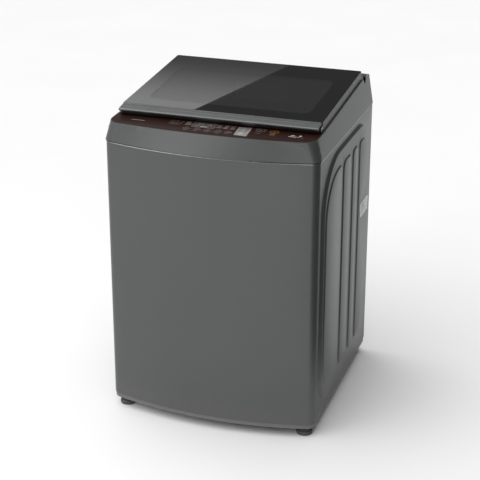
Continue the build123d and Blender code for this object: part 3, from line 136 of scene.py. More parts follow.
class Graph:
    """A node tree being built, for a finish or for a repeated shape."""

    def __init__(self, tree):
        self.tree = tree

    def node(self, kind, settings=None, inputs=(), output=0):
        """Adds a node: its settings first, then the values or links of its sockets."""
        made = self.tree.nodes.new(kind)
        for name, value in (settings or {}).items():
            setattr(made, name, value)
        for key, value in inputs.items() if isinstance(inputs, dict) else enumerate(inputs):
            socket = made.inputs[key]
            if isinstance(value, Value):
                self.tree.links.new(value.socket, socket)
            elif socket.type == "RGBA" and len(value) == 3:
                socket.default_value = (*value, 1.0)
            else:
                socket.default_value = value
        return Value(self, made.outputs[output]) if made.outputs else made

    def arithmetic(self, operation, *values):
        return self.node("ShaderNodeMath", {"operation": operation}, values)

    def place(self, scale=(1.0, 1.0, 1.0)):
        """Object coordinates, scaled."""
        spot = self.node("ShaderNodeTexCoord", output="Object")
        return self.node("ShaderNodeMapping", {"vector_type": "POINT"}, {"Vector": spot, "Scale": scale})

    def axes(self):
        """The three object coordinates, one by one."""
        spot = self.node("ShaderNodeSeparateXYZ", inputs=[self.place()])
        return spot, spot.other("Y"), spot.other("Z")

    def noise(self, scale, detail=2.0, stretch=(1.0, 1.0, 1.0)):
        inputs = {"Vector": self.place(stretch), "Scale": scale, "Detail": detail}
        return self.node("ShaderNodeTexNoise", {"noise_dimensions": "3D"}, inputs)

    def mix(self, first, second, factor):
        """Colour between two, by a factor."""
        return self.node("ShaderNodeMix", {"data_type": "RGBA"}, {0: factor, 6: first, 7: second}, output=2)

    def bump(self, height, depth):
        """Normal from a height of 0 to 1 that stands for a real depth."""
        return self.node("ShaderNodeBump", inputs={"Height": height, "Distance": depth})


def toned(colour, share):
    """A colour made lighter or darker by a share, no channel past full."""
    return tuple(min(1.0, channel * share) for channel in colour)


def finish(name, paint, see_through=False):
    """A material whose paint function gives the values and links of its Principled sockets."""
    material = bpy.data.materials.new(name)
    material.use_nodes = True
    material.node_tree.nodes.clear()
    graph = Graph(material.node_tree)
    shader = graph.node("ShaderNodeBsdfPrincipled", inputs=paint(graph))
    graph.node("ShaderNodeOutputMaterial", inputs={"Surface": shader})
    if see_through:
        material.surface_render_method = "BLENDED"
    return material


def grained(colour, roughness, metallic=0.0, grain=900.0, grain_depth=0.02 * mm, shade=0.10, **fixed):
    """Paint function of a moulded or painted surface: broad clouding, a fine grain and a soft bump."""

    def paint(graph):
        clouding = graph.noise(7.0, 3.0)
        fine = graph.noise(grain, 2.0)
        tone = clouding * 0.6 + fine * 0.4
        sockets = {
            "Base Color": graph.mix(toned(colour, 1.0 - shade), toned(colour, 1.0 + shade), tone),
            "Roughness": roughness + (clouding - 0.5) * 0.10 + (fine - 0.5) * 0.10,
            "Metallic": metallic,
            "Normal": graph.bump(fine, grain_depth),
        }
        for socket, value in fixed.items():
            sockets[socket.replace("_", " ")] = value
        return sockets

    return paint


dust_colour = (0.16, 0.15, 0.135)
dust_low, dust_high = 0.03, 0.13        # heights over which the dust thins out
peel_depth = 0.012 * mm


def enamel(colour, roughness, metallic):
    """Paint function of metallic enamel: bright flakes, orange peel and a little dust low down."""

    def paint(graph):
        flakes = graph.noise(2600.0, 1.0).ramp(0.52, 0.72)
        peel = graph.noise(260.0, 2.0)
        clouding = graph.noise(3.0, 2.0)
        height = graph.axes()[2]
        dust = (1.0 - height.ramp(dust_low, dust_high)) * graph.noise(60.0, 4.0) * 0.35
        body = graph.mix(toned(colour, 0.94), toned(colour, 1.06), clouding)
        flaked = graph.mix(body, toned(colour, 1.35), flakes * 0.35)
        return {
            "Base Color": graph.mix(flaked, dust_colour, dust),
            "Roughness": roughness + (clouding - 0.5) * 0.06 + dust * 0.3 - flakes * 0.05,
            "Metallic": metallic - dust * 0.5,
            "Normal": graph.bump(peel, peel_depth),
        }

    return paint


def brushed(colour, roughness, along="X", lines=1400.0):
    """Paint function of brushed metal, its fine scratches running along one axis."""

    def paint(graph):
        stretch = tuple(0.01 if axis == along else 1.0 for axis in "XYZ")
        scratches = graph.noise(lines, 3.0, stretch)
        wide = graph.noise(lines / 6, 2.0, stretch)
        tone = scratches * 0.6 + wide * 0.4
        return {
            "Base Color": graph.mix(toned(colour, 0.72), toned(colour, 1.2), tone),
            "Roughness": roughness + (scratches - 0.5) * 0.22,
            "Metallic": 1.0,
            "Normal": graph.bump(scratches, 0.01 * mm),
        }

    return paint


def glossy_panel(graph):
    """Deep maroon back-printed panel with a hard clear face."""
    fleck = graph.noise(1800.0, 2.0).ramp(0.55, 0.75)
    haze = graph.noise(9.0, 3.0)
    return {
        "Base Color": graph.mix((0.0240, 0.0092, 0.0068), (0.034, 0.0140, 0.0105), fleck * 0.5),
        "Roughness": 0.34 + haze * 0.08,
        "Metallic": 0.0,
        "Specular IOR Level": 0.14,
        "Coat Weight": 0.03 + haze * 0.04,
        "Coat Roughness": 0.16,
    }


lid_low, lid_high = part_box("lid_glass")
window_inset = 51 * mm          # printed border at the sides of the lid's glass
window_front = 50 * mm
window_rear = 100 * mm
window_corner = 26 * mm
window_blur = 0.4 * mm          # half the soft edge of the printed border


def lid_pane(graph):
    """Smoked glass: a printed border shuts the rim, and the window lets some of the drum show."""
    across, along, _ = graph.axes()
    half_x = (lid_high.x - lid_low.x) / 2 - window_inset
    middle_y = (lid_low.y + window_front + lid_high.y - window_rear) / 2
    half_y = (lid_high.y - window_rear - lid_low.y - window_front) / 2
    past_x = (abs(across) - (half_x - window_corner)).math("MAXIMUM", 0.0)
    past_y = (abs(along - middle_y) - (half_y - window_corner)).math("MAXIMUM", 0.0)
    reach = (past_x * past_x + past_y * past_y).math("SQRT")
    window = 1.0 - reach.ramp(window_corner - window_blur, window_corner + window_blur)
    smear = graph.noise(14.0, 4.0)
    return {
        "Base Color": graph.mix((0.0075, 0.0075, 0.0085), (0.030, 0.030, 0.032), window),
        "Roughness": 0.008 + smear * 0.014,
        "Metallic": 0.0,
        "Alpha": 1.0 - window * 0.28,
        "Coat Weight": 0.10 + smear * 0.06,
        "Coat Roughness": 0.01,
    }


dot_turn = 5200.0               # radians a metre, so that a dot recurs every 1.2 mm


def lcd(graph):
    """Grey liquid crystal with a fine dot grid."""
    across, along, _ = graph.axes()
    dots = (across * dot_turn).math("SINE") * (along * dot_turn).math("SINE")
    return {
        "Base Color": graph.mix((0.075, 0.072, 0.070), (0.10, 0.097, 0.094), dots.ramp(-0.4, 0.6)),
        "Roughness": 0.12 + graph.noise(20.0) * 0.05,
        "Coat Weight": 0.5,
    }


def ink(colour, glow=0.0):
    """Paint function of a screen-printed mark."""

    def paint(graph):
        screen = graph.noise(3200.0, 1.0)
        coat = graph.mix(toned(colour, 0.85), colour, screen)
        sockets = {"Base Color": coat, "Roughness": 0.35 + screen * 0.1, "Metallic": 0.0}
        if glow:
            sockets.update({"Emission Color": coat, "Emission Strength": glow})
        return sockets

    return paint


def drum_steel(graph):
    """Stainless sheet brushed up the drum, with faint water marks."""
    scratches = graph.noise(1300.0, 3.0, (1.0, 1.0, 0.02))
    marks = graph.noise(26.0, 4.0).ramp(0.5, 0.75)
    return {
        "Base Color": graph.mix((0.50, 0.50, 0.51), (0.62, 0.62, 0.63), scratches - marks * 0.2),
        "Roughness": 0.22 + scratches * 0.16 + marks * 0.08,
        "Metallic": 1.0,
        "Normal": graph.bump(scratches, 0.006 * mm),
    }


enamel_grey = finish("metallic_grey_enamel", enamel((0.100, 0.1045, 0.1035), 0.40, 0.62))
cover_grey = finish("cover_metallic_grey", enamel((0.103, 0.1075, 0.1065), 0.42, 0.58))
trim_grey = finish("lid_side_grey", enamel((0.092, 0.096, 0.095), 0.44, 0.55))
maroon = finish("maroon_panel_gloss", glossy_panel)
key_paint = grained((0.030, 0.0120, 0.0090), 0.32, grain=2200.0, Coat_Weight=0.05, Specular_IOR_Level=0.2)
key_maroon = finish("key_maroon_satin", key_paint)
key_pale = finish("key_pale_grey", grained((0.42, 0.41, 0.40), 0.30, grain=1800.0, shade=0.05))
pane = finish("smoked_lid_glass", lid_pane, see_through=True)
grip_metal = finish("brushed_grip_metal", brushed((0.175, 0.182, 0.180), 0.38))
# Bright brushed metal used as painted highlight: the highlight bars on the lid strip and the rolled edge
# under the seam
highlight_metal = finish("painted_highlight_metal", brushed((0.42, 0.43, 0.425), 0.30))
bar_paint = grained((0.006, 0.006, 0.006), 0.28, grain=1200.0, shade=0.3, Coat_Weight=0.4)
bar_black = finish("lid_bar_black", bar_paint)
black_plastic = finish("black_plastic", grained((0.012, 0.012, 0.012), 0.48, shade=0.25))
white_plastic = finish("drawer_white_plastic", grained((0.66, 0.67, 0.67), 0.34, grain=700.0, shade=0.03))
ring_plastic = finish("ring_pale_grey_plastic", grained((0.44, 0.45, 0.46), 0.40, grain=600.0, shade=0.05))
tub_plastic = finish("tub_white_polypropylene", grained((0.58, 0.59, 0.58), 0.55, grain=500.0, shade=0.06))
stainless = finish("drum_stainless", drum_steel)
zinc = finish("zinc_plated_steel", grained((0.42, 0.43, 0.43), 0.38, 1.0, grain=220.0, shade=0.18))
cast_skin = grained((0.36, 0.36, 0.36), 0.55, 1.0, grain=420.0, grain_depth=0.12 * mm)
cast_grey = finish("cast_aluminium", cast_skin)
rubber = finish("black_rubber", grained((0.018, 0.018, 0.018), 0.72, grain=1500.0, shade=0.3))
foot_grey = finish("foot_grey_nylon", grained((0.070, 0.073, 0.071), 0.52, grain=800.0, shade=0.14))
base_grey = finish("base_frame_grey", grained((0.150, 0.154, 0.152), 0.48, 0.2, grain=900.0, shade=0.10))
board_green = finish("circuit_board_green", grained((0.02, 0.09, 0.03), 0.40, grain=1800.0, shade=0.35))
spring_steel = finish("spring_steel", brushed((0.34, 0.34, 0.35), 0.34, "Z", lines=2400.0))
motor_enamel = finish("motor_dark_enamel", grained((0.05, 0.052, 0.055), 0.42, 0.3, grain=600.0, shade=0.2))
# Handle cups: pale grey plastic, made lighter still as painted light, because the pocket sits in shade
lit_pocket_grey = finish("pocket_grey_painted_light", grained((0.84, 0.86, 0.85), 0.40, grain=1100.0, shade=0.04))
lcd_glass = finish("display_pane", lcd)
ink_silver = finish("print_silver", grained((0.34, 0.33, 0.32), 0.36, 0.3, grain=2600.0, shade=0.12))
ink_grey = finish("print_grey", ink((0.16, 0.14, 0.135)))
ink_white = finish("print_white", ink((0.80, 0.79, 0.78)))
ink_pale = finish("print_pale", ink((0.42, 0.40, 0.39)))
ink_dark = finish("print_dark", ink((0.035, 0.025, 0.024)))
ink_orange = finish("print_orange", ink((0.62, 0.20, 0.015)))
ink_red = finish("print_red", ink((0.75, 0.035, 0.02), glow=0.25))
screw_steel = finish("screw_black_zinc", grained((0.10, 0.10, 0.105), 0.36, 0.9, grain=1500.0, shade=0.2))

key_names = [f"function_key_{n}" for n in range(1, 6)]
foot_names = [f"{end}_{side}" for end in ("front", "rear") for side in ("left", "right")]
zinc_nodes = ("hinge_pins", "suspension_brackets", "suspension_rods", "support_plate")
node_finishes = {
    enamel_grey: ("front_panel", "right_side_panel", "left_side_panel", "rear_panel", "rear_service_cover"),
    cover_grey: ("top_cover",),
    trim_grey: ("lid_frame",),
    maroon: ("control_panel",),
    key_maroon: (*key_names, "start_key", "power_key"),
    key_pale: ("program_key",),
    pane: ("lid_glass",),
    grip_metal: ("lid_grip",),
    bar_black: ("lid_front_bar",),
    black_plastic: ("lid_liner", "lid_lock", "power_cord_gland", "drain_outlet", "drain_valve", "kick_plate"),
    white_plastic: ("dispenser_drawer", "pulsator", "pulsator_cap", "lint_filter", "water_inlet_valve"),
    ring_plastic: ("balance_ring", "detergent_housing"),
    tub_plastic: ("outer_tub", "tub_ring"),
    stainless: ("wash_basket",),
    zinc: (*zinc_nodes, "foot_lock_nuts", "lid_lock_bolt"),
    cast_grey: ("basket_hub", "gearcase", "drive_pulley"),
    rubber: ("drive_belt", "drain_hose"),
    foot_grey: tuple(f"levelling_foot_{foot}" for foot in foot_names),
    base_grey: ("base_frame",),
    board_green: ("control_board",),
    spring_steel: ("suspension_springs", "drive_shaft", "motor_pulley"),
    motor_enamel: ("drive_motor",),
    # handle cups take the grey lightened as painted light
    lit_pocket_grey: ("handle_cup_right", "handle_cup_left"),
    lcd_glass: ("display_window",),
    screw_steel: ("body_screws",),
}
finish_of = {node: material for material, members in node_finishes.items() for node in members}
for node, piece in frame["nodes"].items():
    piece.data.materials.clear()
    piece.data.materials.append(finish_of[node])

# ---------------------------------------------------------------- mesh helpers


def shaded(mesh, crease=32.0):
    """Smooth shading that breaks at edges sharper than the crease."""
    mesh.shade_smooth()
    mesh.set_sharp_from_angle(angle=radians(crease))


def linked(name, mesh, material, crease=32.0):
    """A new piece from a finished mesh."""
    mesh.materials.clear()
    mesh.materials.append(material)
    shaded(mesh, crease)
    piece = bpy.data.objects.new(name, mesh)
    scene.collection.objects.link(piece)
    return piece


def form_of(node, weld=0.0):
    """Bmesh copy of a CAD node, its loose triangles welded if a distance is given."""
    form = bmesh.new()
    form.from_mesh(frame["nodes"][node].data)
    if weld:
        bmesh.ops.remove_doubles(form, verts=form.verts, dist=weld)
    return form


def mesh_of(form, name):
    """Mesh from a bmesh, which is used up."""
    mesh = bpy.data.meshes.new(name)
    form.to_mesh(mesh)
    form.free()
    return mesh


def closed(form, name):
    """Mesh from a bmesh, welded and with its faces outward."""
    bmesh.ops.remove_doubles(form, verts=form.verts, dist=0.01 * mm)
    bmesh.ops.recalc_face_normals(form, faces=form.faces)
    return mesh_of(form, name)


def baked(piece):
    """Applies a piece's modifiers and leaves it a plain mesh."""
    evaluated = piece.evaluated_get(bpy.context.evaluated_depsgraph_get())
    mesh = bpy.data.meshes.new_from_object(evaluated)
    piece.modifiers.clear()
    piece.data = mesh
    return piece


node_weld = 0.002 * mm
flat_angle = 0.4                # degrees between triangles that lie in one face
sharp_angle = 34.0              # degrees past which an edge is rounded off


def softened(node, radius):
    """Stands for a CAD node with its sharp edges rounded off."""
    form = form_of(node, node_weld)
    bmesh.ops.dissolve_limit(form, angle_limit=radians(flat_angle), verts=form.verts, edges=form.edges)
    piece = linked(node + "_soft", mesh_of(form, node + "_soft"), finish_of[node])
    edge = piece.modifiers.new("edge", "BEVEL")
    edge.width = radius
    edge.segments = 2
    edge.limit_method = "ANGLE"
    edge.angle_limit = radians(sharp_angle)
    edge.use_clamp_overlap = True
    edge.miter_outer = "MITER_ARC"
    edge.harden_normals = True
    baked(piece)
    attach(piece, frame["nodes"][node]["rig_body"])
    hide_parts(node)


def lathe(profile, steps):
    """Bmesh turned from a closed loop of (radius, height) about the machine's upright axis."""
    form = bmesh.new()
    rings = []
    for step in range(steps):
        angle = 2 * pi * step / steps
        across, along = cos(angle), sin(angle)
        rings.append([form.verts.new((r * across, r * along, height)) for r, height in profile])
    count = len(profile)
    for step in range(steps):
        here, there = rings[step], rings[(step + 1) % steps]
        for n in range(count):
            m = (n + 1) % count
            form.faces.new((here[n], there[n], there[m], here[m]))
    return form


# ---------------------------------------------------------------- pressed side panels

body_low, body_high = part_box("front_panel")
side_low, side_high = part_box("right_side_panel")
cup_low, cup_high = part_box("handle_cup_right")
base_face = body_high.x
sheet_corner = 4 * mm
hole_corner = 4 * mm
fold_steps = 6
boss_rings, rib_rings = 9, 6
pressing_crease = 40.0          # degrees
boss_front_margin = 70 * mm
boss_rear_margin = 36 * mm
boss_bottom_margin = 26 * mm
boss_top_margin = 16 * mm
boss_stand = 8 * mm
boss_slope = 12.6 * mm
boss_spread = 0.3 * mm          # how far the rounded foot of the boss lies outside its edge
boss_radii = (105 * mm, 160 * mm, 140 * mm, 100 * mm)
rib_stand = 3.5 * mm
rib_slope = 4.4 * mm
rib_front_gap = 15.55 * mm
rib_widths = (154.9 * mm, 78.9 * mm, 54.9 * mm, 116.9 * mm)
rib_gaps = (17.1 * mm, 23.1 * mm, 21.1 * mm)
rib_margins = (55.55 * mm, 47.55 * mm)
rib_end = 17 * mm
rib_radii = (
    (67 * mm, 125 * mm, rib_end, rib_end),
    (rib_end, 27 * mm, rib_end, rib_end),
    (rib_end, 23 * mm, rib_end, rib_end),
    (rib_end, rib_end, 93 * mm, 63 * mm),
)
fold_radius = 3 * mm
fold_depth = 12 * mm
sheet = 1 * mm
cup_wall = 2 * mm
cup_lip_rise = 7 * mm
arc_steps = 16


def rounded_loop(y0, y1, z0, z1, radii, inset):
    """Points round a rectangle with a radius for each corner, drawn in by an inset."""
    least = 0.4 * mm
    front_low, front_high, rear_high, rear_low = radii
    corners = (
        (y0, z0, 1, 1, pi, front_low),
        (y1, z0, -1, 1, 1.5 * pi, rear_low),
        (y1, z1, -1, -1, 0.0, rear_high),
        (y0, z1, 1, -1, 0.5 * pi, front_high),
    )
    points = []
    for y, z, to_y, to_z, start, radius in corners:
        centre_y = y + to_y * max(radius, inset + least)
        centre_z = z + to_z * max(radius, inset + least)
        left = max(radius - inset, least)
        for step in range(arc_steps + 1):
            angle = start + step / arc_steps * pi / 2
            points.append((centre_y + left * cos(angle), centre_z + left * sin(angle)))
    return points


def soft_step(slope, stand, rings):
    """Insets and heights of a pressed wall that rounds softly at its foot and its top."""
    shares = [n / (rings - 1) for n in range(rings)]
    return [(slope * t, stand * t * t * (3 - 2 * t)) for t in shares]


def add_rings(form, outline, radii, profile, base):
    """Bridged rings round an outline, one for each inset and height; returns the first and the last."""
    made = []
    for inset, height in profile:
        loop = rounded_loop(*outline, radii, inset)
        made.append([form.verts.new((base + height, y, z)) for y, z in loop])
    count = len(made[0])
    for outer, inner in zip(made, made[1:]):
        for n in range(count):
            m = (n + 1) % count
            form.faces.new((outer[n], outer[m], inner[m], inner[n]))
    return made[0], made[-1]


def fill_between(form, *loops):
    """Flat faces over the region that closed loops bound."""
    edges = []
    for loop in loops:
        for here, there in zip(loop, loop[1:] + loop[:1]):
            edges.append(form.edges.get((here, there)) or form.edges.new((here, there)))
    bmesh.ops.triangle_fill(form, use_beauty=True, edges=edges, normal=(1, 0, 0))


def side_form():
    """The right side panel: a folded sheet with a pressed boss, four ribs and the handle's hole."""
    form = bmesh.new()
    plate = (side_low.y, side_high.y, side_low.z, side_high.z)
    fold = [(0.0, -fold_depth)]
    for step in range(fold_steps):
        angle = step / (fold_steps - 1) * pi / 2
        fold.append((fold_radius * (1 - cos(angle)), -fold_radius * (1 - sin(angle))))
    _, plate_edge = add_rings(form, plate, (sheet_corner,) * 4, fold, base_face)
    boss = (
        body_low.y + boss_front_margin - boss_spread,
        side_high.y - boss_rear_margin + boss_spread,
        side_low.z + boss_bottom_margin - boss_spread,
        side_high.z - boss_top_margin + boss_spread,
    )
    boss_wall = soft_step(boss_slope, boss_stand, boss_rings)
    boss_foot, boss_top = add_rings(form, boss, boss_radii, boss_wall, base_face)
    fill_between(form, plate_edge, boss_foot)
    rib_feet = []
    start = boss[0] + boss_spread + rib_front_gap
    rib_z = (boss[2] + boss_spread + rib_margins[0], boss[3] - boss_spread - rib_margins[1])
    rib_wall = soft_step(rib_slope, rib_stand, rib_rings)
    for width, gap, radii in zip(rib_widths, (*rib_gaps, None), rib_radii):
        outline = (start, start + width, *rib_z)
        foot, top = add_rings(form, outline, radii, rib_wall, base_face + boss_stand)
        rib_feet.append(foot)
        if gap is None:
            hole = (cup_low.y + cup_wall, cup_high.y - cup_wall)
            hole += (cup_low.z + cup_wall, cup_high.z - cup_wall - cup_lip_rise)
            loop = rounded_loop(*hole, (hole_corner,) * 4, 0.0)
            edge = [form.verts.new((base_face + boss_stand + rib_stand, y, z)) for y, z in loop]
            fill_between(form, top, edge)
        else:
            fill_between(form, top)
            start += width + gap
    fill_between(form, boss_top, *rib_feet)
    return form


for side, name in ((1, "right"), (-1, "left")):
    form = side_form()
    for vert in form.verts:
        vert.co.x *= side
    mesh = closed(form, f"{name}_side_pressing")
    middle = max(mesh.polygons, key=lambda face: face.area)
    if middle.normal.x * side < 0:
        mesh.flip_normals()
    pressing = linked(f"{name}_side_pressing", mesh, enamel_grey, pressing_crease)
    wall = pressing.modifiers.new("wall", "SOLIDIFY")
    wall.thickness = sheet
    wall.offset = -1.0
    baked(pressing)
    shaded(pressing.data, pressing_crease)
    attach(pressing, "cabinet")
    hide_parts(f"{name}_side_panel")

# ---------------------------------------------------------------- rounded edges on carried-over shapes

edge_radii = {                  # millimetres
    "front_panel": 0.9,
    "top_cover": 1.6,
    "lid_frame": 1.0,
    "lid_glass": 0.7,
    "lid_grip": 0.6,
    "lid_front_bar": 0.8,
    "control_panel": 0.35,
    "base_frame": 0.8,
    "kick_plate": 0.6,
    "rear_panel": 0.5,
    "rear_service_cover": 0.3,
    "drain_outlet": 0.5,
    "power_cord_gland": 0.8,
    "dispenser_drawer": 0.8,
    "pulsator": 2.5,
    "balance_ring": 2.0,
    "lint_filter": 0.6,
    "gearcase": 1.5,
    "drive_motor": 1.5,
    "support_plate": 1.0,
    "start_key": 0.4,
    "power_key": 0.4,
    "program_key": 0.4,
    "lid_liner": 0.8,
    "outer_tub": 1.0,
    "tub_ring": 1.0,
    "detergent_housing": 0.6,
    "water_inlet_valve": 0.6,
}
for node, radius in edge_radii.items():
    softened(node, radius * mm)

# ---------------------------------------------------------------- print on the control panel

panel_low, panel_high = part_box("control_panel")
panel_slope = radians(2.0)
panel_up = Vector((0.0, -sin(panel_slope), cos(panel_slope)))
ink_lift = 0.07 * mm
key_stand = 0.4 * mm
letter_choice = Random(11)
dash_gap = 0.6 * mm
parallel = 1e-12                # cross product under which a ray misses an edge


def on_panel(x, y, lift=0.0):
    """Point on the panel's face over a place in plan."""
    height = panel_high.z + (y - panel_high.y) * tan(panel_slope)
    return Vector((x, y, height)) + panel_up * lift


def printed(name, shapes, material, body="cabinet", base=0.0):
    """A thin layer of ink from plan outlines."""
    form = bmesh.new()
    for shape in shapes:
        lower = [form.verts.new(on_panel(x, y, base - ink_lift)) for x, y in shape]
        upper = [form.verts.new(on_panel(x, y, base + ink_lift)) for x, y in shape]
        form.faces.new(upper)
        form.faces.new(lower[::-1])
        for n in range(len(shape)):
            m = (n + 1) % len(shape)
            form.faces.new((lower[n], lower[m], upper[m], upper[n]))
    bmesh.ops.recalc_face_normals(form, faces=form.faces)
    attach(linked(name, mesh_of(form, name), material), body)


def bar(x, y, width, height=1.2 * mm, lean=0.0):
    """Outline of an upright or leaning bar about its middle."""
    half, rise = width / 2, height / 2
    push = lean * rise
    low_edge = [(x - half - push, y - rise), (x + half - push, y - rise)]
    return low_edge + [(x + half + push, y + rise), (x - half + push, y + rise)]


def oval(x, y, half_x, half_y, start=0.0, sweep=2 * pi, steps=36):
    """Points along an oval or a part of it; a part has its last point as well."""
    angles = [start + sweep * n / steps for n in range(steps + (sweep < 2 * pi))]
    return [(x + half_x * cos(a), y + half_y * sin(a)) for a in angles]


def band(outer, inner, closed_band=True):
    """Quads between two outlines with as many points."""
    pairs = list(zip(outer, inner))
    nexts = pairs[1:] + pairs[:1]
    quads = [(out, next_out, next_in, in_) for (out, in_), (next_out, next_in) in zip(pairs, nexts)]
    return quads if closed_band else quads[:-1]


def ring(x, y, half_x, half_y, width, start=0.0, sweep=2 * pi):
    """Quads of an oval ring or a part of it."""
    outer = oval(x, y, half_x, half_y, start, sweep)
    return band(outer, oval(x, y, half_x - width, half_y - width, start, sweep), sweep >= 2 * pi)


def frame_of(x0, x1, y0, y1, width):
    """Four bars round a rectangle."""
    sides = [bar((x0 + x1) / 2, y, x1 - x0, width) for y in (y0, y1)]
    return sides + [bar(x, (y0 + y1) / 2, width, y1 - y0) for x in (x0, x1)]


def small_print(x, y, length, rows, pitch=3.4 * mm, height=0.95 * mm):
    """Rows of short dashes, as a column of small print reads from a distance."""
    shapes = []
    for row in range(rows):
        reach = length * letter_choice.uniform(0.62, 1.0)
        start = 0.0
        while start < reach:
            dash = letter_choice.uniform(1.2, 3.0) * mm
            shapes.append(bar(x + start + dash / 2, y - row * pitch, dash, height))
            start += dash + dash_gap
    return shapes


def centre_of(node):
    """Middle of a node in plan."""
    low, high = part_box(node)
    return (low.x + high.x) / 2, (low.y + high.y) / 2


def around_key(outline, x, y, radius, steps=64):
    """Quads from a round key's edge out to a convex outline about it."""
    angles = [2 * pi * n / steps for n in range(steps)]
    angles = sorted(angles + [atan2(v - y, u - x) % (2 * pi) for u, v in outline])
    far = []
    for a in angles:
        reach = 1.0
        for (u0, v0), (u1, v1) in zip(outline, outline[1:] + outline[:1]):
            across = cos(a) * (v1 - v0) - sin(a) * (u1 - u0)
            if abs(across) > parallel:
                t = ((u0 - x) * (v1 - v0) - (v0 - y) * (u1 - u0)) / across
                if t > 0:
                    reach = min(reach, t)
        far.append((x + reach * cos(a), y + reach * sin(a)))
    return band(far, [(x + radius * cos(a), y + radius * sin(a)) for a in angles])


display_low, display_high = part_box("display_window")
display_x, display_y = centre_of("display_window")
program_x, program_y = centre_of("program_key")
start_x, start_y = centre_of("start_key")
power_x, power_y = centre_of("power_key")
program_low, program_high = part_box("program_key")
program_radius = (program_high.x - program_low.x) / 2

card = [
    (program_x - 20 * mm, display_high.y - 4 * mm),
    (program_x - 15 * mm, panel_low.y + 19 * mm),
    (program_x + 20 * mm, panel_low.y + 17 * mm),
    (program_x + 16 * mm, display_high.y - 1 * mm),
]
printed("print_program_card", around_key(card, program_x, program_y, program_radius - 1.2 * mm), ink_silver)
card_text = []
for row in range(8):
    row_y = display_high.y - 9 * mm - row * 3.9 * mm
    for column_x in (program_x - 15 * mm, program_x + 2 * mm):
        card_text += small_print(column_x, row_y, 12 * mm, 1)
printed("print_card_text", card_text, ink_dark, base=2 * ink_lift)
card_lamp = [oval(program_x - 12 * mm, display_high.y - 7.0 * mm, 1.1 * mm, 1.1 * mm)]
printed("print_card_lamp", card_lamp, ink_red, base=3 * ink_lift)
program_ring = ring(program_x, program_y, 7.3 * mm, 7.3 * mm, 0.7 * mm)
printed("print_program_ring", program_ring, ink_grey, "program_key", key_stand)

# Small print beside the display and round the keys, and each function key's oval and arrows
display_frame = frame_of(display_low.x, display_high.x, display_low.y, display_high.y, 1.3 * mm)
text = small_print(display_low.x - 21 * mm, display_high.y - 3 * mm, 17 * mm, 8)
for column in range(3):
    text += small_print(display_high.x + (5 + 19 * column) * mm, display_high.y - 3 * mm, 14 * mm, 8)
for name in key_names:
    key_x, key_y = centre_of(name)
    text += small_print(key_x - 8 * mm, key_y + 10.5 * mm, 15 * mm, 1)
    text += small_print(key_x - 6 * mm, key_y - 9.5 * mm, 12 * mm, 1)
    marks = ring(key_x, key_y, 10.4 * mm, 5.0 * mm, 0.45 * mm)
    for side in (-1, 1):
        for lean, row in ((-side, 1), (side, -1)):
            marks.append(bar(key_x + side * 3 * mm, key_y + row * 0.9 * mm, 0.6 * mm, 1.8 * mm, lean))
    printed(f"print_{name}", marks, ink_pale, name, key_stand)
text += small_print(power_x - 7 * mm, power_y - 18 * mm, 15 * mm, 2)
text += small_print(start_x - 9 * mm, start_y - 19 * mm, 17 * mm, 1)
printed("print_display_frame", display_frame, ink_silver)
printed("print_small_text", text, ink_pale)

# Card mark: dots round a leaning card, with a slash beside it
mark_x = display_low.x - 55 * mm
mark_dot = 1.2 * mm
mark_lean = 0.08
mark = []
for n in range(9):
    step = n * 3.1 * mm
    mark.append(bar(mark_x + mark_lean * step - 10 * mm, display_y + 11 * mm - step, mark_dot))
    mark.append(bar(mark_x + mark_lean * step + 9 * mm, display_y + 12 * mm - step, mark_dot))
for n in range(7):
    mark.append(bar(mark_x - 10 * mm + n * 3.2 * mm, display_y + 13 * mm, mark_dot))
    mark.append(bar(mark_x - 8 * mm + n * 3.2 * mm, display_y - 15 * mm, mark_dot))
for drop, width in ((1 * mm, 11 * mm), (5 * mm, 7 * mm)):
    mark.append(bar(mark_x, display_y - drop, width, 0.8 * mm))
mark.append(bar(mark_x + 20 * mm, display_y, 0.6 * mm, 26 * mm, 0.30))
printed("print_card_mark", mark, ink_pale)
printed("print_plain_bar", [bar(panel_low.x + 72 * mm, display_y - 12 * mm, 38 * mm, 2.0 * mm)], ink_pale)

# Start key: an arc over it and a mark on it; power key: an orange ring and its bar
start_arc = ring(start_x, start_y, 18 * mm, 15 * mm, 0.7 * mm, 0.15 * pi, 0.7 * pi)
printed("print_start_arc", start_arc, ink_pale)
start_mark = ring(start_x, start_y, 12.5 * mm, 9.5 * mm, 0.6 * mm)
start_mark += [bar(start_x + side * 1.6 * mm, start_y, 0.9 * mm, 5 * mm) for side in (-1, 1)]
printed("print_start_mark", start_mark, ink_pale, "start_key", key_stand)
power_mark = ring(power_x, power_y, 12.0 * mm, 11.0 * mm, 1.0 * mm)
power_mark += ring(power_x, power_y, 4.2 * mm, 4.0 * mm, 0.9 * mm, 0.66 * pi, 1.68 * pi)
power_mark.append(bar(power_x, power_y + 3.2 * mm, 0.9 * mm, 4.6 * mm))
printed("print_power_mark", power_mark, ink_orange, "power_key", key_stand)

# Plain marks at the right end
corner_x = power_x + 46 * mm
corner_marks = small_print(corner_x + 2 * mm, power_y - 10 * mm, 12 * mm, 1, height=3.0 * mm)
corner_marks.append(oval(corner_x + 27 * mm, power_y - 9 * mm, 3.6 * mm, 2.6 * mm))
corner_marks += small_print(corner_x - 2 * mm, power_y - 18 * mm, 28 * mm, 2, 3.0 * mm, 1.5 * mm)
printed("print_corner_marks", corner_marks, ink_white)
corner_line = small_print(corner_x + 26 * mm, power_y - 21 * mm, 18 * mm, 1)
printed("print_corner_line", corner_line, ink_pale)

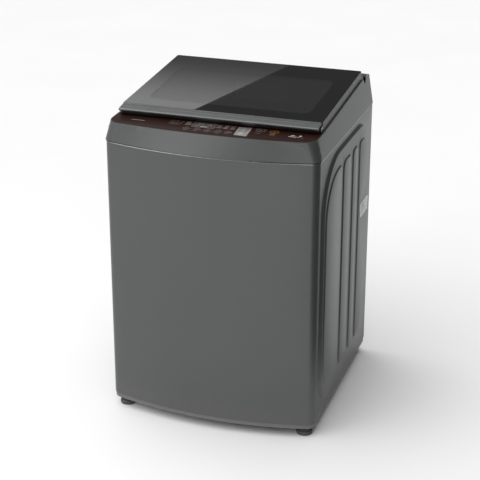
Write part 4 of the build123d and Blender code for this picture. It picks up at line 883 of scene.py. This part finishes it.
# Display: seven-segment figures, lamps and a bar
digits = {"0": "abcdef", "2": "abged", "4": "fgbc", "5": "afgcd"}
digit_x, digit_y = 2.2 * mm, 3.4 * mm
stroke = 0.9 * mm
level_segments = {"a": (0, 2), "g": (0, 0), "d": (0, -2)}
upright_segments = {"b": (1, 1), "c": (1, -1), "f": (-1, 1), "e": (-1, -1)}
figures = []
for place, figure in enumerate("0245"):
    middle_x = display_x + (place - 1.5) * 9.0 * mm + (4 * mm if place > 1 else 0.0)
    for part in digits[figure]:
        upright = part in upright_segments
        along, above = upright_segments[part] if upright else level_segments[part]
        size = (stroke, digit_y - 1.0 * mm) if upright else (2 * digit_x - stroke, stroke)
        figures.append(bar(middle_x + along * digit_x, display_y + 4 * mm + above * digit_y / 2, *size))
figures.append(bar(display_x - 18 * mm, display_y - 6 * mm, 12 * mm, stroke))
printed("display_figures", figures, ink_pale, base=2 * ink_lift)
display_bar = [bar(display_x + 2 * mm, display_low.y + 6.0 * mm, 20 * mm, 1.5 * mm)]
printed("display_bar", display_bar, ink_white, base=2 * ink_lift)
lamps = [
    oval(display_low.x + 11 * mm, display_low.y + 6 * mm, 1.3 * mm, 1.3 * mm),
    oval(display_high.x - 6 * mm, display_high.y - 7 * mm, 1.3 * mm, 1.3 * mm),
]
printed("display_lamps", lamps, ink_red, base=2 * ink_lift)

# ---------------------------------------------------------------- seam under the top cover

seam_height = body_high.z


def outline_at(node, height):
    """Outer outline of a node in plan at a height, counter-clockwise; the outline bulges everywhere."""
    form = form_of(node)
    geometry = form.verts[:] + form.edges[:] + form.faces[:]
    cut = bmesh.ops.bisect_plane(form, geom=geometry, plane_co=(0, 0, height), plane_no=(0, 0, 1))
    cut_verts = [part for part in cut["geom_cut"] if isinstance(part, bmesh.types.BMVert)]
    spots = sorted({(round(vert.co.x, 5), round(vert.co.y, 5)) for vert in cut_verts})
    form.free()
    outline = []
    for run in (spots, spots[::-1]):
        half = []
        for spot in run:
            while len(half) > 1 and turns_right(half[-2], half[-1], spot):
                half.pop()
            half.append(spot)
        outline += half[:-1]
    return outline


def turns_right(first, second, third):
    """Whether three points in plan turn clockwise or lie in line."""
    across = (second[0] - first[0]) * (third[1] - first[1])
    return across <= (second[1] - first[1]) * (third[0] - first[0])


def drawn_in(points, amount):
    """The outline moved inward by an amount."""
    moved = []
    for before, here, after in zip(points[-1:] + points[:-1], points, points[1:] + points[:1]):
        along = Vector((after[0] - before[0], after[1] - before[1])).normalized()
        moved.append((here[0] - along.y * amount, here[1] + along.x * amount))
    return moved


rim = outline_at("top_cover", seam_height + 1.5 * mm)


def girdle(name, section, material):
    """A strip that runs round the cabinet at the seam, from (height, inset) pairs of its section."""
    form = bmesh.new()
    loops = []
    for height, inset in section:
        loops.append([form.verts.new((x, y, seam_height + height)) for x, y in drawn_in(rim, inset)])
    for here, there in zip(loops, loops[1:] + loops[:1]):
        for n in range(len(here)):
            m = (n + 1) % len(here)
            form.faces.new((here[n], here[m], there[m], there[n]))
    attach(linked(name, closed(form, name), material), "cabinet")


# Black strip in the seam: a rubber seal whose black also stands in as painted shadow, the dark line under the
# cover's overhang
seal = ((-3.2 * mm, 1.6 * mm), (0.2 * mm, 1.6 * mm), (0.2 * mm, 4 * mm), (-3.2 * mm, 4 * mm))
girdle("seam_seal_and_shadow", seal, rubber)
# Rolled edge of the panels below the seam, in bright metal as a painted highlight: the bright line under the
# seam's dark line
rolled_edge = ((-3.2 * mm, 1.5 * mm), (-4.4 * mm, 1.1 * mm), (-5.6 * mm, 2.1 * mm))
rolled_edge += ((-4.4 * mm, 2.6 * mm), (-3.2 * mm, 2.6 * mm))
girdle("panel_rolled_edge_highlight", rolled_edge, highlight_metal)

# Painted highlights: bright metal bars along the front strip of the lid, at its two edges and its middle,
# where the strip's highlight lines fall
grip_low, grip_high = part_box("lid_grip")
highlight_shares = (0.06, 0.58, 0.95)        # places across the strip, from its front edge
highlight_size = (grip_high.x - grip_low.x - 3 * mm, 1.3 * mm, 1.2 * mm)
grip_form = form_of("lid_grip")
grip_face = BVHTree.FromBMesh(grip_form)
grip_form.free()


def add_block(form, middle, size):
    """A block about its middle, whose edges are rounded off later."""
    place = Matrix.Translation(middle) @ Matrix.Diagonal((*size, 1.0))
    bmesh.ops.create_cube(form, size=1.0, matrix=place)


highlight_bars = bmesh.new()
for share in highlight_shares:
    highlight_y = grip_low.y + share * (grip_high.y - grip_low.y)
    spot = grip_face.ray_cast(Vector((0.0, highlight_y, grip_high.z + 50 * mm)), Vector((0, 0, -1)))[0]
    add_block(highlight_bars, (0.0, highlight_y, spot.z + 0.1 * mm), highlight_size)
bmesh.ops.bevel(highlight_bars, geom=highlight_bars.edges[:], offset=0.4 * mm, segments=2, affect="EDGES")
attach(linked("lid_strip_highlights", closed(highlight_bars, "lid_strip_highlights"), highlight_metal), "lid")

# ---------------------------------------------------------------- repeated shapes


def shape_tree(name, inputs, build):
    """A geometry tree with named inputs; what build() makes of them ends as real, coated geometry."""
    tree = bpy.data.node_groups.new(name, "GeometryNodeTree")
    tree.interface.new_socket("Geometry", in_out="INPUT", socket_type="NodeSocketGeometry")
    for key, value in inputs.items():
        kind = "NodeSocketInt" if isinstance(value, int) else "NodeSocketFloat"
        tree.interface.new_socket(key, in_out="INPUT", socket_type=kind).default_value = value
    tree.interface.new_socket("Material", in_out="INPUT", socket_type="NodeSocketMaterial")
    tree.interface.new_socket("Geometry", in_out="OUTPUT", socket_type="NodeSocketGeometry")
    graph = Graph(tree)
    start = graph.node("NodeGroupInput")
    real = graph.node("GeometryNodeRealizeInstances", inputs=[build(graph, start)])
    coat = {"Geometry": real, "Material": start.other("Material")}
    coated = graph.node("GeometryNodeSetMaterial", inputs=coat)
    graph.node("NodeGroupOutput", inputs=[coated])
    return tree


def grown(name, tree, seed, material, values=None):
    """Runs a tree over a seed mesh and returns the plain mesh piece that it grows."""
    piece = bpy.data.objects.new(name, seed)
    scene.collection.objects.link(piece)
    maker = piece.modifiers.new("shape", "NODES")
    maker.node_group = tree
    given = {**(values or {}), "Material": material}
    for item in tree.interface.items_tree:
        if item.in_out == "INPUT" and item.name in given:
            maker[item.identifier] = given[item.name]
    baked(piece)
    shaded(piece.data)
    return piece


def seeds(name, places):
    """A mesh of loose points, each with the direction that its copy faces."""
    mesh = bpy.data.meshes.new(name + "_seed")
    mesh.from_pydata([tuple(place) for place, _ in places], [], [])
    facing = mesh.attributes.new("facing", "FLOAT_VECTOR", "POINT")
    for item, (_, way) in zip(facing.data, places):
        item.vector = way
    return mesh


def placed(graph, points, shape):
    """The shape at every seed point, its Z along the point's facing."""
    facing = graph.node("GeometryNodeInputNamedAttribute", {"data_type": "FLOAT_VECTOR"}, {"Name": "facing"})
    turn_to = graph.node("FunctionNodeAlignRotationToVector", {"axis": "Z"}, {"Vector": facing})
    placing = {"Points": points, "Instance": shape, "Rotation": turn_to}
    return graph.node("GeometryNodeInstanceOnPoints", inputs=placing)


def vector(graph, x=0.0, y=0.0, z=0.0):
    """A vector from numbers or links."""
    return graph.node("ShaderNodeCombineXYZ", inputs=[x, y, z])


def moved(graph, shape, place):
    """A shape moved by a vector."""
    return graph.node("GeometryNodeTransform", inputs={"Geometry": shape, "Translation": place})


def build_screw(graph, start):
    """Pan head with a cross recess."""
    radius, rise = start.other("Radius"), start.other("Height")
    sizes = {"Vertices": 28, "Radius Top": radius * 0.72, "Radius Bottom": radius, "Depth": rise}
    head = graph.node("GeometryNodeMeshCone", inputs=sizes)
    for long, wide in ((1.1, 0.26), (0.26, 1.1)):
        block = graph.node("GeometryNodeMeshCube", inputs=[vector(graph, radius * long, radius * wide, rise)])
        cutter = moved(graph, block, vector(graph, z=rise * 0.95))
        cut = {"operation": "DIFFERENCE"}
        head = graph.node("GeometryNodeMeshBoolean", cut, {"Mesh 1": head, "Mesh 2": cutter})
    return placed(graph, start, head)


def swept(graph, path, radius, sides):
    """A round section carried along a path, its ends closed."""
    section = graph.node("GeometryNodeCurvePrimitiveCircle", inputs={"Resolution": sides, "Radius": radius})
    sweep = {"Curve": path, "Profile Curve": section, "Fill Caps": True}
    return graph.node("GeometryNodeCurveToMesh", inputs=sweep)


def build_coil(graph, start):
    """Round wire wound up its axis."""
    turns, radius = start.other("Turns"), start.other("Radius")
    sizes = {"Resolution": 30, "Rotations": turns, "Start Radius": radius, "End Radius": radius}
    path = graph.node("GeometryNodeCurveSpiral", inputs={**sizes, "Height": start.other("Height")})
    return placed(graph, start, swept(graph, path, start.other("Wire"), 10))


def build_hose(graph, start):
    """Corrugated tube along its axis."""
    end = vector(graph, z=start.other("Length"))
    line = graph.node("GeometryNodeCurvePrimitiveLine", inputs={"End": end})
    path = graph.node("GeometryNodeResampleCurve", inputs={"Curve": line, "Count": start.other("Ribs") * 8})
    along = graph.node("GeometryNodeSplineParameter")
    wave = (along * start.other("Ribs") * (2 * pi)).math("COSINE") * start.other("Rib share") + 1.0
    waved = graph.node("GeometryNodeSetCurveRadius", inputs={"Curve": path, "Radius": wave})
    return placed(graph, start, swept(graph, waved, start.other("Radius"), 40))


def build_grips(graph, start):
    """Upright ribs round a foot."""
    sizes = {"Vertices": start.other("Count"), "Radius": start.other("Radius")}
    spots = graph.node("GeometryNodeMeshCircle", inputs=sizes)
    rib_sizes = {"Vertices": 10, "Radius": start.other("Rib radius"), "Depth": start.other("Height")}
    rib = graph.node("GeometryNodeMeshCylinder", inputs=rib_sizes)
    ring_of_ribs = graph.node("GeometryNodeInstanceOnPoints", inputs={"Points": spots, "Instance": rib})
    return placed(graph, start, ring_of_ribs)


def build_drum_wall(graph, start):
    """Perforated wall: staggered tiles bent round a cylinder and welded."""
    columns, rows = start.other("Columns"), start.other("Rows")
    grid_size = {"Size X": (columns - 1) / columns, "Size Y": (rows - 1) / rows}
    grid = graph.node("GeometryNodeMeshGrid", inputs={**grid_size, "Vertices X": columns, "Vertices Y": rows})
    number = graph.node("GeometryNodeInputIndex")
    odd = number.math("MODULO", rows).math("MODULO", 2.0)
    stagger = vector(graph, odd * 0.5 / columns)
    shifted = graph.node("GeometryNodeSetPosition", inputs={"Geometry": grid, "Offset": stagger})
    tile_scale = vector(graph, 1.0 / columns, 1.0 / rows, 1.0)
    tiling = {"Points": shifted, "Instance": start, "Scale": tile_scale}
    tiles = graph.node("GeometryNodeInstanceOnPoints", inputs=tiling)
    sheet_of = graph.node("GeometryNodeRealizeInstances", inputs=[tiles])
    spot = graph.node("ShaderNodeSeparateXYZ", inputs=[graph.node("GeometryNodeInputPosition")])
    angle = spot * (2 * pi)
    reach = start.other("Radius") - spot.other("Z") * start.other("Wall")
    height = start.other("Bottom") + (spot.other("Y") + 0.5) * start.other("Height")
    bent = vector(graph, angle.math("COSINE") * reach, angle.math("SINE") * reach, height)
    wall = graph.node("GeometryNodeSetPosition", inputs={"Geometry": sheet_of, "Position": bent})
    return graph.node("GeometryNodeMergeByDistance", inputs={"Geometry": wall, "Distance": 0.01 * mm})


screw_rise = 1.8 * mm
spring_wire = 1.6 * mm
screw_tree = shape_tree("cross_screws", {"Radius": 3.5 * mm, "Height": screw_rise}, build_screw)
coil_sizes = {"Turns": 7.0, "Radius": 11.0 * mm, "Height": 85 * mm, "Wire": spring_wire}
coil_tree = shape_tree("coils", coil_sizes, build_coil)
hose_sizes = {"Length": 72 * mm, "Radius": 18 * mm, "Ribs": 12, "Rib share": 0.06}
hose_tree = shape_tree("corrugated_hose", hose_sizes, build_hose)
grip_sizes = {"Count": 28, "Radius": 21.7 * mm, "Rib radius": 0.8 * mm, "Height": 6 * mm}
grip_tree = shape_tree("foot_grips", grip_sizes, build_grips)
wall_sizes = {"Columns": 96, "Rows": 24, "Radius": 242.8 * mm, "Wall": 0.8 * mm}
wall_sizes.update({"Bottom": 230 * mm, "Height": 380 * mm})
wall_tree = shape_tree("drum_wall", wall_sizes, build_drum_wall)

up, rearward = Vector((0, 0, 1)), Vector((0, 1, 0))


def islands(node):
    """Lowest and highest corners of each separate solid in a node, in order of their lowest corners."""
    form = form_of(node, node_weld)
    left, found = set(form.verts), []
    while left:
        stack, group = [left.pop()], []
        while stack:
            vert = stack.pop()
            group.append(vert.co.copy())
            for edge in vert.link_edges:
                ahead = edge.other_vert(vert)
                if ahead in left:
                    left.remove(ahead)
                    stack.append(ahead)
        found.append([Vector([pick(co[n] for co in group) for n in range(3)]) for pick in (min, max)])
    form.free()
    return sorted(found, key=lambda corners: tuple(corners[0]))


# Screws: the heads face out of the back, or out of the sides of the cover
screw_places = []
for low, high in islands("body_screws"):
    middle = (low + high) / 2
    if high.y > cad_high.y - 12 * mm:
        screw_places.append(((middle.x, high.y - screw_rise / 2, middle.z), rearward))
    else:
        side = 1 if middle.x > 0 else -1
        outer = high.x if side > 0 else low.x
        screw_places.append(((outer - side * 1.0 * mm, middle.y, middle.z), Vector((side, 0, 0))))
screws = grown("body_screws_cross", screw_tree, seeds("screws", screw_places), screw_steel)
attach(screws, "cabinet")
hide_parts("body_screws")

# Springs under the tub's lugs, one on each rod
rod_places = []
for low, high in islands("suspension_springs"):
    middle = (low + high) / 2
    rod_places.append(((middle.x, middle.y, low.z + spring_wire), up))
spring_low, spring_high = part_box("suspension_springs")
spring_height = spring_high.z - spring_low.z
spring_values = {"Radius": 11.2 * mm, "Height": spring_height - 2 * spring_wire, "Turns": 8.0}
springs = grown("suspension_coils", coil_tree, seeds("springs", rod_places), spring_steel, spring_values)
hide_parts("suspension_springs")
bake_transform(springs)

# Drain hose from the valve on the tub to the outlet in the back
hose_low, hose_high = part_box("drain_hose")
hose_middle = (hose_low + hose_high) / 2
hose_length = hose_high.y - hose_low.y
hose_seed = seeds("hose", [((hose_middle.x, hose_low.y, hose_middle.z), rearward)])
crest_share = 2 * (1 + hose_sizes["Rib share"])         # width over the crests, in mean radii
hose_values = {"Length": hose_length, "Radius": (hose_high.x - hose_low.x) / crest_share}
hose = grown("drain_hose_ribbed", hose_tree, hose_seed, rubber, hose_values)
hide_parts("drain_hose")
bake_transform(hose)

# Threads of the two water inlets
inlet_low, inlet_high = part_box("water_inlet_valve")
inlet_spacing = 56 * mm
inlet_tip = cad_high.y - 11 * mm
inlet_z = (inlet_low.z + inlet_high.z) / 2
thread_start = inlet_tip - 13 * mm
inlet_places = [((side * inlet_spacing / 2, thread_start, inlet_z), rearward) for side in (-1, 1)]
thread_values = {"Radius": 13.1 * mm, "Height": 11 * mm, "Turns": 5.0, "Wire": 0.85 * mm}
threads = grown("inlet_threads", coil_tree, seeds("threads", inlet_places), white_plastic, thread_values)
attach(threads, "cabinet")

# Ribs round each foot
for foot in foot_names:
    spot = (*centre_of(f"levelling_foot_{foot}"), 5.6 * mm)
    grips = grown(f"foot_grips_{foot}", grip_tree, seeds("grips", [(spot, up)]), foot_grey)
    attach(grips, f"foot_{foot}")

# ---------------------------------------------------------------- wash basket

basket_low, basket_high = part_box("wash_basket")
basket_radius = basket_high.x
basket_sheet = 1.2 * mm
corner_radius = 22 * mm
shaft_hole = 18 * mm            # radius
wall_lap = 3 * mm               # how far the floor and the top band lap over the wall
wall_bottom = basket_low.z + corner_radius + 4 * mm
wall_top = basket_high.z - 14 * mm


def drum_tile(column_width, row_height, hole_radius):
    """One tile of the wall with a round hole: both faces and the wall of the hole, its rim left open."""
    form = bmesh.new()
    rim = [(0.5, 0.0), (0.5, 0.5), (0.0, 0.5), (-0.5, 0.5)]
    rim += [(-u, -v) for u, v in rim]
    angles = [n * pi / 4 for n in range(8)]
    hole = [(hole_radius * cos(a) / column_width, hole_radius * sin(a) / row_height) for a in angles]
    loops = []
    for depth in (0.0, 1.0):
        loops.append([[form.verts.new((u, v, depth)) for u, v in points] for points in (rim, hole)])
    (rim_out, hole_out), (rim_in, hole_in) = loops
    for n in range(8):
        m = (n + 1) % 8
        form.faces.new((rim_out[n], rim_out[m], hole_out[m], hole_out[n]))
        form.faces.new((hole_in[n], hole_in[m], rim_in[m], rim_in[n]))
        form.faces.new((hole_out[n], hole_out[m], hole_in[m], hole_in[n]))
    return mesh_of(form, "drum_tile")


columns, rows = 96, 24
drum_hole_radius = 2.1 * mm
column_width = 2 * pi * basket_radius / columns
row_height = (wall_top - wall_bottom) / rows
wall_values = {
    "Columns": columns,
    "Rows": rows,
    "Radius": basket_radius - 0.2 * mm,
    "Wall": 0.8 * mm,
    "Bottom": wall_bottom,
    "Height": wall_top - wall_bottom,
}
tile = drum_tile(column_width, row_height, drum_hole_radius)
drum_wall = grown("drum_wall_perforated", wall_tree, tile, stainless, wall_values)
outermost = max(drum_wall.data.polygons, key=lambda face: hypot(face.center.x, face.center.y))
if outermost.normal.x * outermost.center.x + outermost.normal.y * outermost.center.y < 0:
    drum_wall.data.flip_normals()
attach(drum_wall, "basket")
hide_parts("wash_basket")


def drum_floor():
    """Dished floor with its turned-up rim, and the plain band at the top, from closed sections."""
    inner, low = basket_radius - basket_sheet, basket_low.z
    bend = [n / 6 * pi / 2 for n in range(7)]
    centre = (basket_radius - corner_radius, low + corner_radius)
    outside, inside = (
        [(centre[0] + radius * sin(a), centre[1] - radius * cos(a)) for a in bend]
        for radius in (corner_radius, corner_radius - basket_sheet)
    )
    floor_top, bead_top = low + basket_sheet, low + 4 * mm
    bead = [(120 * mm, floor_top), (126 * mm, bead_top), (138 * mm, bead_top), (144 * mm, floor_top)]
    joint = wall_bottom + wall_lap
    section = [(shaft_hole, low)] + outside + [(basket_radius, joint), (inner, joint)]
    section += inside[::-1] + bead[::-1] + [(shaft_hole, floor_top)]
    form = lathe(section, columns)
    top = [(basket_radius, wall_top - wall_lap), (basket_radius, basket_high.z)]
    top += [(inner, basket_high.z), (inner, wall_top - wall_lap)]
    form.from_mesh(mesh_of(lathe(top, columns), "drum_band"))
    return closed(form, "drum_floor")


floor_piece = linked("drum_floor", drum_floor(), stainless)
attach(floor_piece, "basket")
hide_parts("wash_basket")

filter_low, filter_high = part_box("lint_filter")
rails = bmesh.new()
for side in (-1, 1):
    rail_x = side * (filter_high.x + 3.2 * mm)
    rail_middle = (rail_x, basket_radius - 17 * mm, (filter_low.z + filter_high.z) / 2)
    add_block(rails, rail_middle, (5 * mm, 20 * mm, filter_high.z - filter_low.z + 12 * mm))
bmesh.ops.bevel(rails, geom=rails.edges[:], offset=1.2 * mm, segments=2, affect="EDGES")
rail_piece = linked("filter_rails", closed(rails, "filter_rails"), stainless)
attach(rail_piece, "basket")

# ---------------------------------------------------------------- camera, light and floor

camera_turn, camera_rise = 18.9, 21.0       # degrees
camera_distance = 3.808
camera_target = Vector((-0.005, 0.0, 0.624 * cad_high.z))
turn, rise = radians(camera_turn), radians(camera_rise)
back = Vector((sin(turn) * cos(rise), -cos(turn) * cos(rise), sin(rise)))
camera = bpy.data.objects.new("camera", bpy.data.cameras.new("camera"))
scene.collection.objects.link(camera)
camera.data.lens = 100.0
camera.data.sensor_width = 36.0
camera.data.shift_y = -0.083
camera.location = camera_target + back * camera_distance
camera.rotation_mode = "QUATERNION"
camera.rotation_quaternion = (-back).to_track_quat("-Z", "Y")
scene.camera = camera


def soft_light(name, place, aim, size, power):
    """A large rectangular studio light aimed at a point."""
    data = bpy.data.lights.new(name, "AREA")
    data.shape = "RECTANGLE"
    data.size, data.size_y = size
    data.energy = power
    lamp = bpy.data.objects.new(name, data)
    scene.collection.objects.link(lamp)
    lamp.location = place
    lamp.rotation_mode = "QUATERNION"
    lamp.rotation_quaternion = (Vector(aim) - Vector(place)).to_track_quat("-Z", "Y")


soft_light("light_front_left", (-2.6, -3.4, 2.2), (0.0, 0.0, 0.4), (2.4, 2.2), 24.0)
soft_light("light_front_right", (1.6, -3.6, 1.4), (0.1, 0.0, 0.6), (1.6, 2.0), 14.0)
soft_light("light_right_rear", (3.4, 1.8, 2.0), (0.0, 0.0, 0.5), (2.0, 2.2), 0.8)

sky_data = bpy.data.lights.new("light_soft_top", "SUN")
sky_data.energy = 3.3
sky_data.angle = radians(100.0)
sky = bpy.data.objects.new("light_soft_top", sky_data)
scene.collection.objects.link(sky)
sky.rotation_euler = (radians(10.0), radians(-23.0), 0.0)

world = bpy.data.worlds.new("studio")
scene.world = world
world.use_nodes = True
backdrop = world.node_tree.nodes["Background"]
backdrop.inputs["Color"].default_value = (1.0, 1.0, 1.0, 1.0)
backdrop.inputs["Strength"].default_value = 0.10


def stage_piece(name, corners, material):
    """A flat stage piece from its corners."""
    mesh = bpy.data.meshes.new(name)
    mesh.from_pydata([tuple(c) for c in corners], [], [tuple(range(len(corners)))])
    mesh.materials.append(material)
    piece = bpy.data.objects.new(name, mesh)
    scene.collection.objects.link(piece)
    return piece


def floor_paint(graph):
    """Matt white studio floor."""
    shade = graph.noise(2.0, 2.0)
    return {
        "Base Color": graph.mix((0.90, 0.90, 0.90), (0.94, 0.94, 0.94), shade),
        "Roughness": 0.85,
        "Metallic": 0.0,
    }


floor_half = 40.0
floor_finish = finish("studio_floor", floor_paint)
floor_corners = [(x * floor_half, y * floor_half, 0) for x, y in ((-1, -1), (1, -1), (1, 1), (-1, 1))]
stage_piece("studio_floor", floor_corners, floor_finish)


def glow_paint(low, high, bottom, top):
    """Paint function of a lit card that brightens upwards."""

    def paint(graph):
        height = graph.axes()[2]
        share = height.ramp(bottom, top)
        return {
            "Base Color": (0.0, 0.0, 0.0),
            "Roughness": 1.0,
            "Emission Color": graph.mix((low,) * 3, (high,) * 3, share),
            "Emission Strength": 1.0,
        }

    return paint


def seen_only_in_gloss(card):
    """Leaves a card to reflections, so that it neither shows nor lights or shades anything."""
    card.visible_camera = False
    card.visible_diffuse = False
    card.visible_shadow = False
    card.visible_transmission = False


# Lit card behind the machine on the left: its slanted edge crosses the lid's glass
pane_slope = radians(4.3)
pane_normal = Vector((0.0, -sin(pane_slope), cos(pane_slope)))
pane_middle = Vector((0.0, lid_high.y, lid_high.z))
mirrored = camera.location - 2 * (camera.location - pane_middle).dot(pane_normal) * pane_normal
card_y = 2.6
edge_shares = (0.133, 0.123)        # places of the edge at the glass's front and rear, in its widths
card_reach = 1.6                    # outer end of the card, in half widths of the glass
card_glow = (0.20, 1.12)            # at the rear and at the front of the reflection


def seen_on_card(x, y):
    """Where a point of the glass sends the camera's view on the card's plane."""
    z = pane_middle.z + (y - pane_middle.y) * tan(pane_slope)
    ray = Vector((x, y, z)) - mirrored
    return mirrored + ray * ((card_y - mirrored.y) / ray.y)


edge_front = seen_on_card(edge_shares[0] * lid_low.x * 2, lid_low.y)
edge_rear = seen_on_card(edge_shares[1] * lid_high.x * 2, lid_high.y)
outer_front = seen_on_card(lid_low.x * card_reach, lid_low.y - 50 * mm)
outer_rear = seen_on_card(lid_low.x * card_reach, lid_high.y + 50 * mm)
along_edge = (edge_front - edge_rear).normalized()
card_corners = [edge_rear - along_edge * 0.4, edge_front + along_edge * 0.5]
card_corners.append(Vector((outer_front.x, card_y, card_corners[1].z)))
card_corners.append(Vector((outer_rear.x, card_y, card_corners[0].z)))
card_finish = finish("lit_card", glow_paint(*card_glow, edge_rear.z, edge_front.z))
seen_only_in_gloss(stage_piece("lit_card", card_corners, card_finish))

# Dark card beside the front right corner, which keeps the corner and the pressed wall dark
flag_x = 2.1 * cad_high.x
flag_front, flag_rear, flag_top = -0.95, 0.12, 1.25
flag_finish = finish("dark_card", grained((0.004, 0.004, 0.004), 0.9))
flag_corners = [(flag_x, flag_front, 0.0), (flag_x, flag_rear, 0.0)]
flag_corners += [(flag_x, flag_rear, flag_top), (flag_x, flag_front, flag_top)]
seen_only_in_gloss(stage_piece("dark_card", flag_corners, flag_finish))
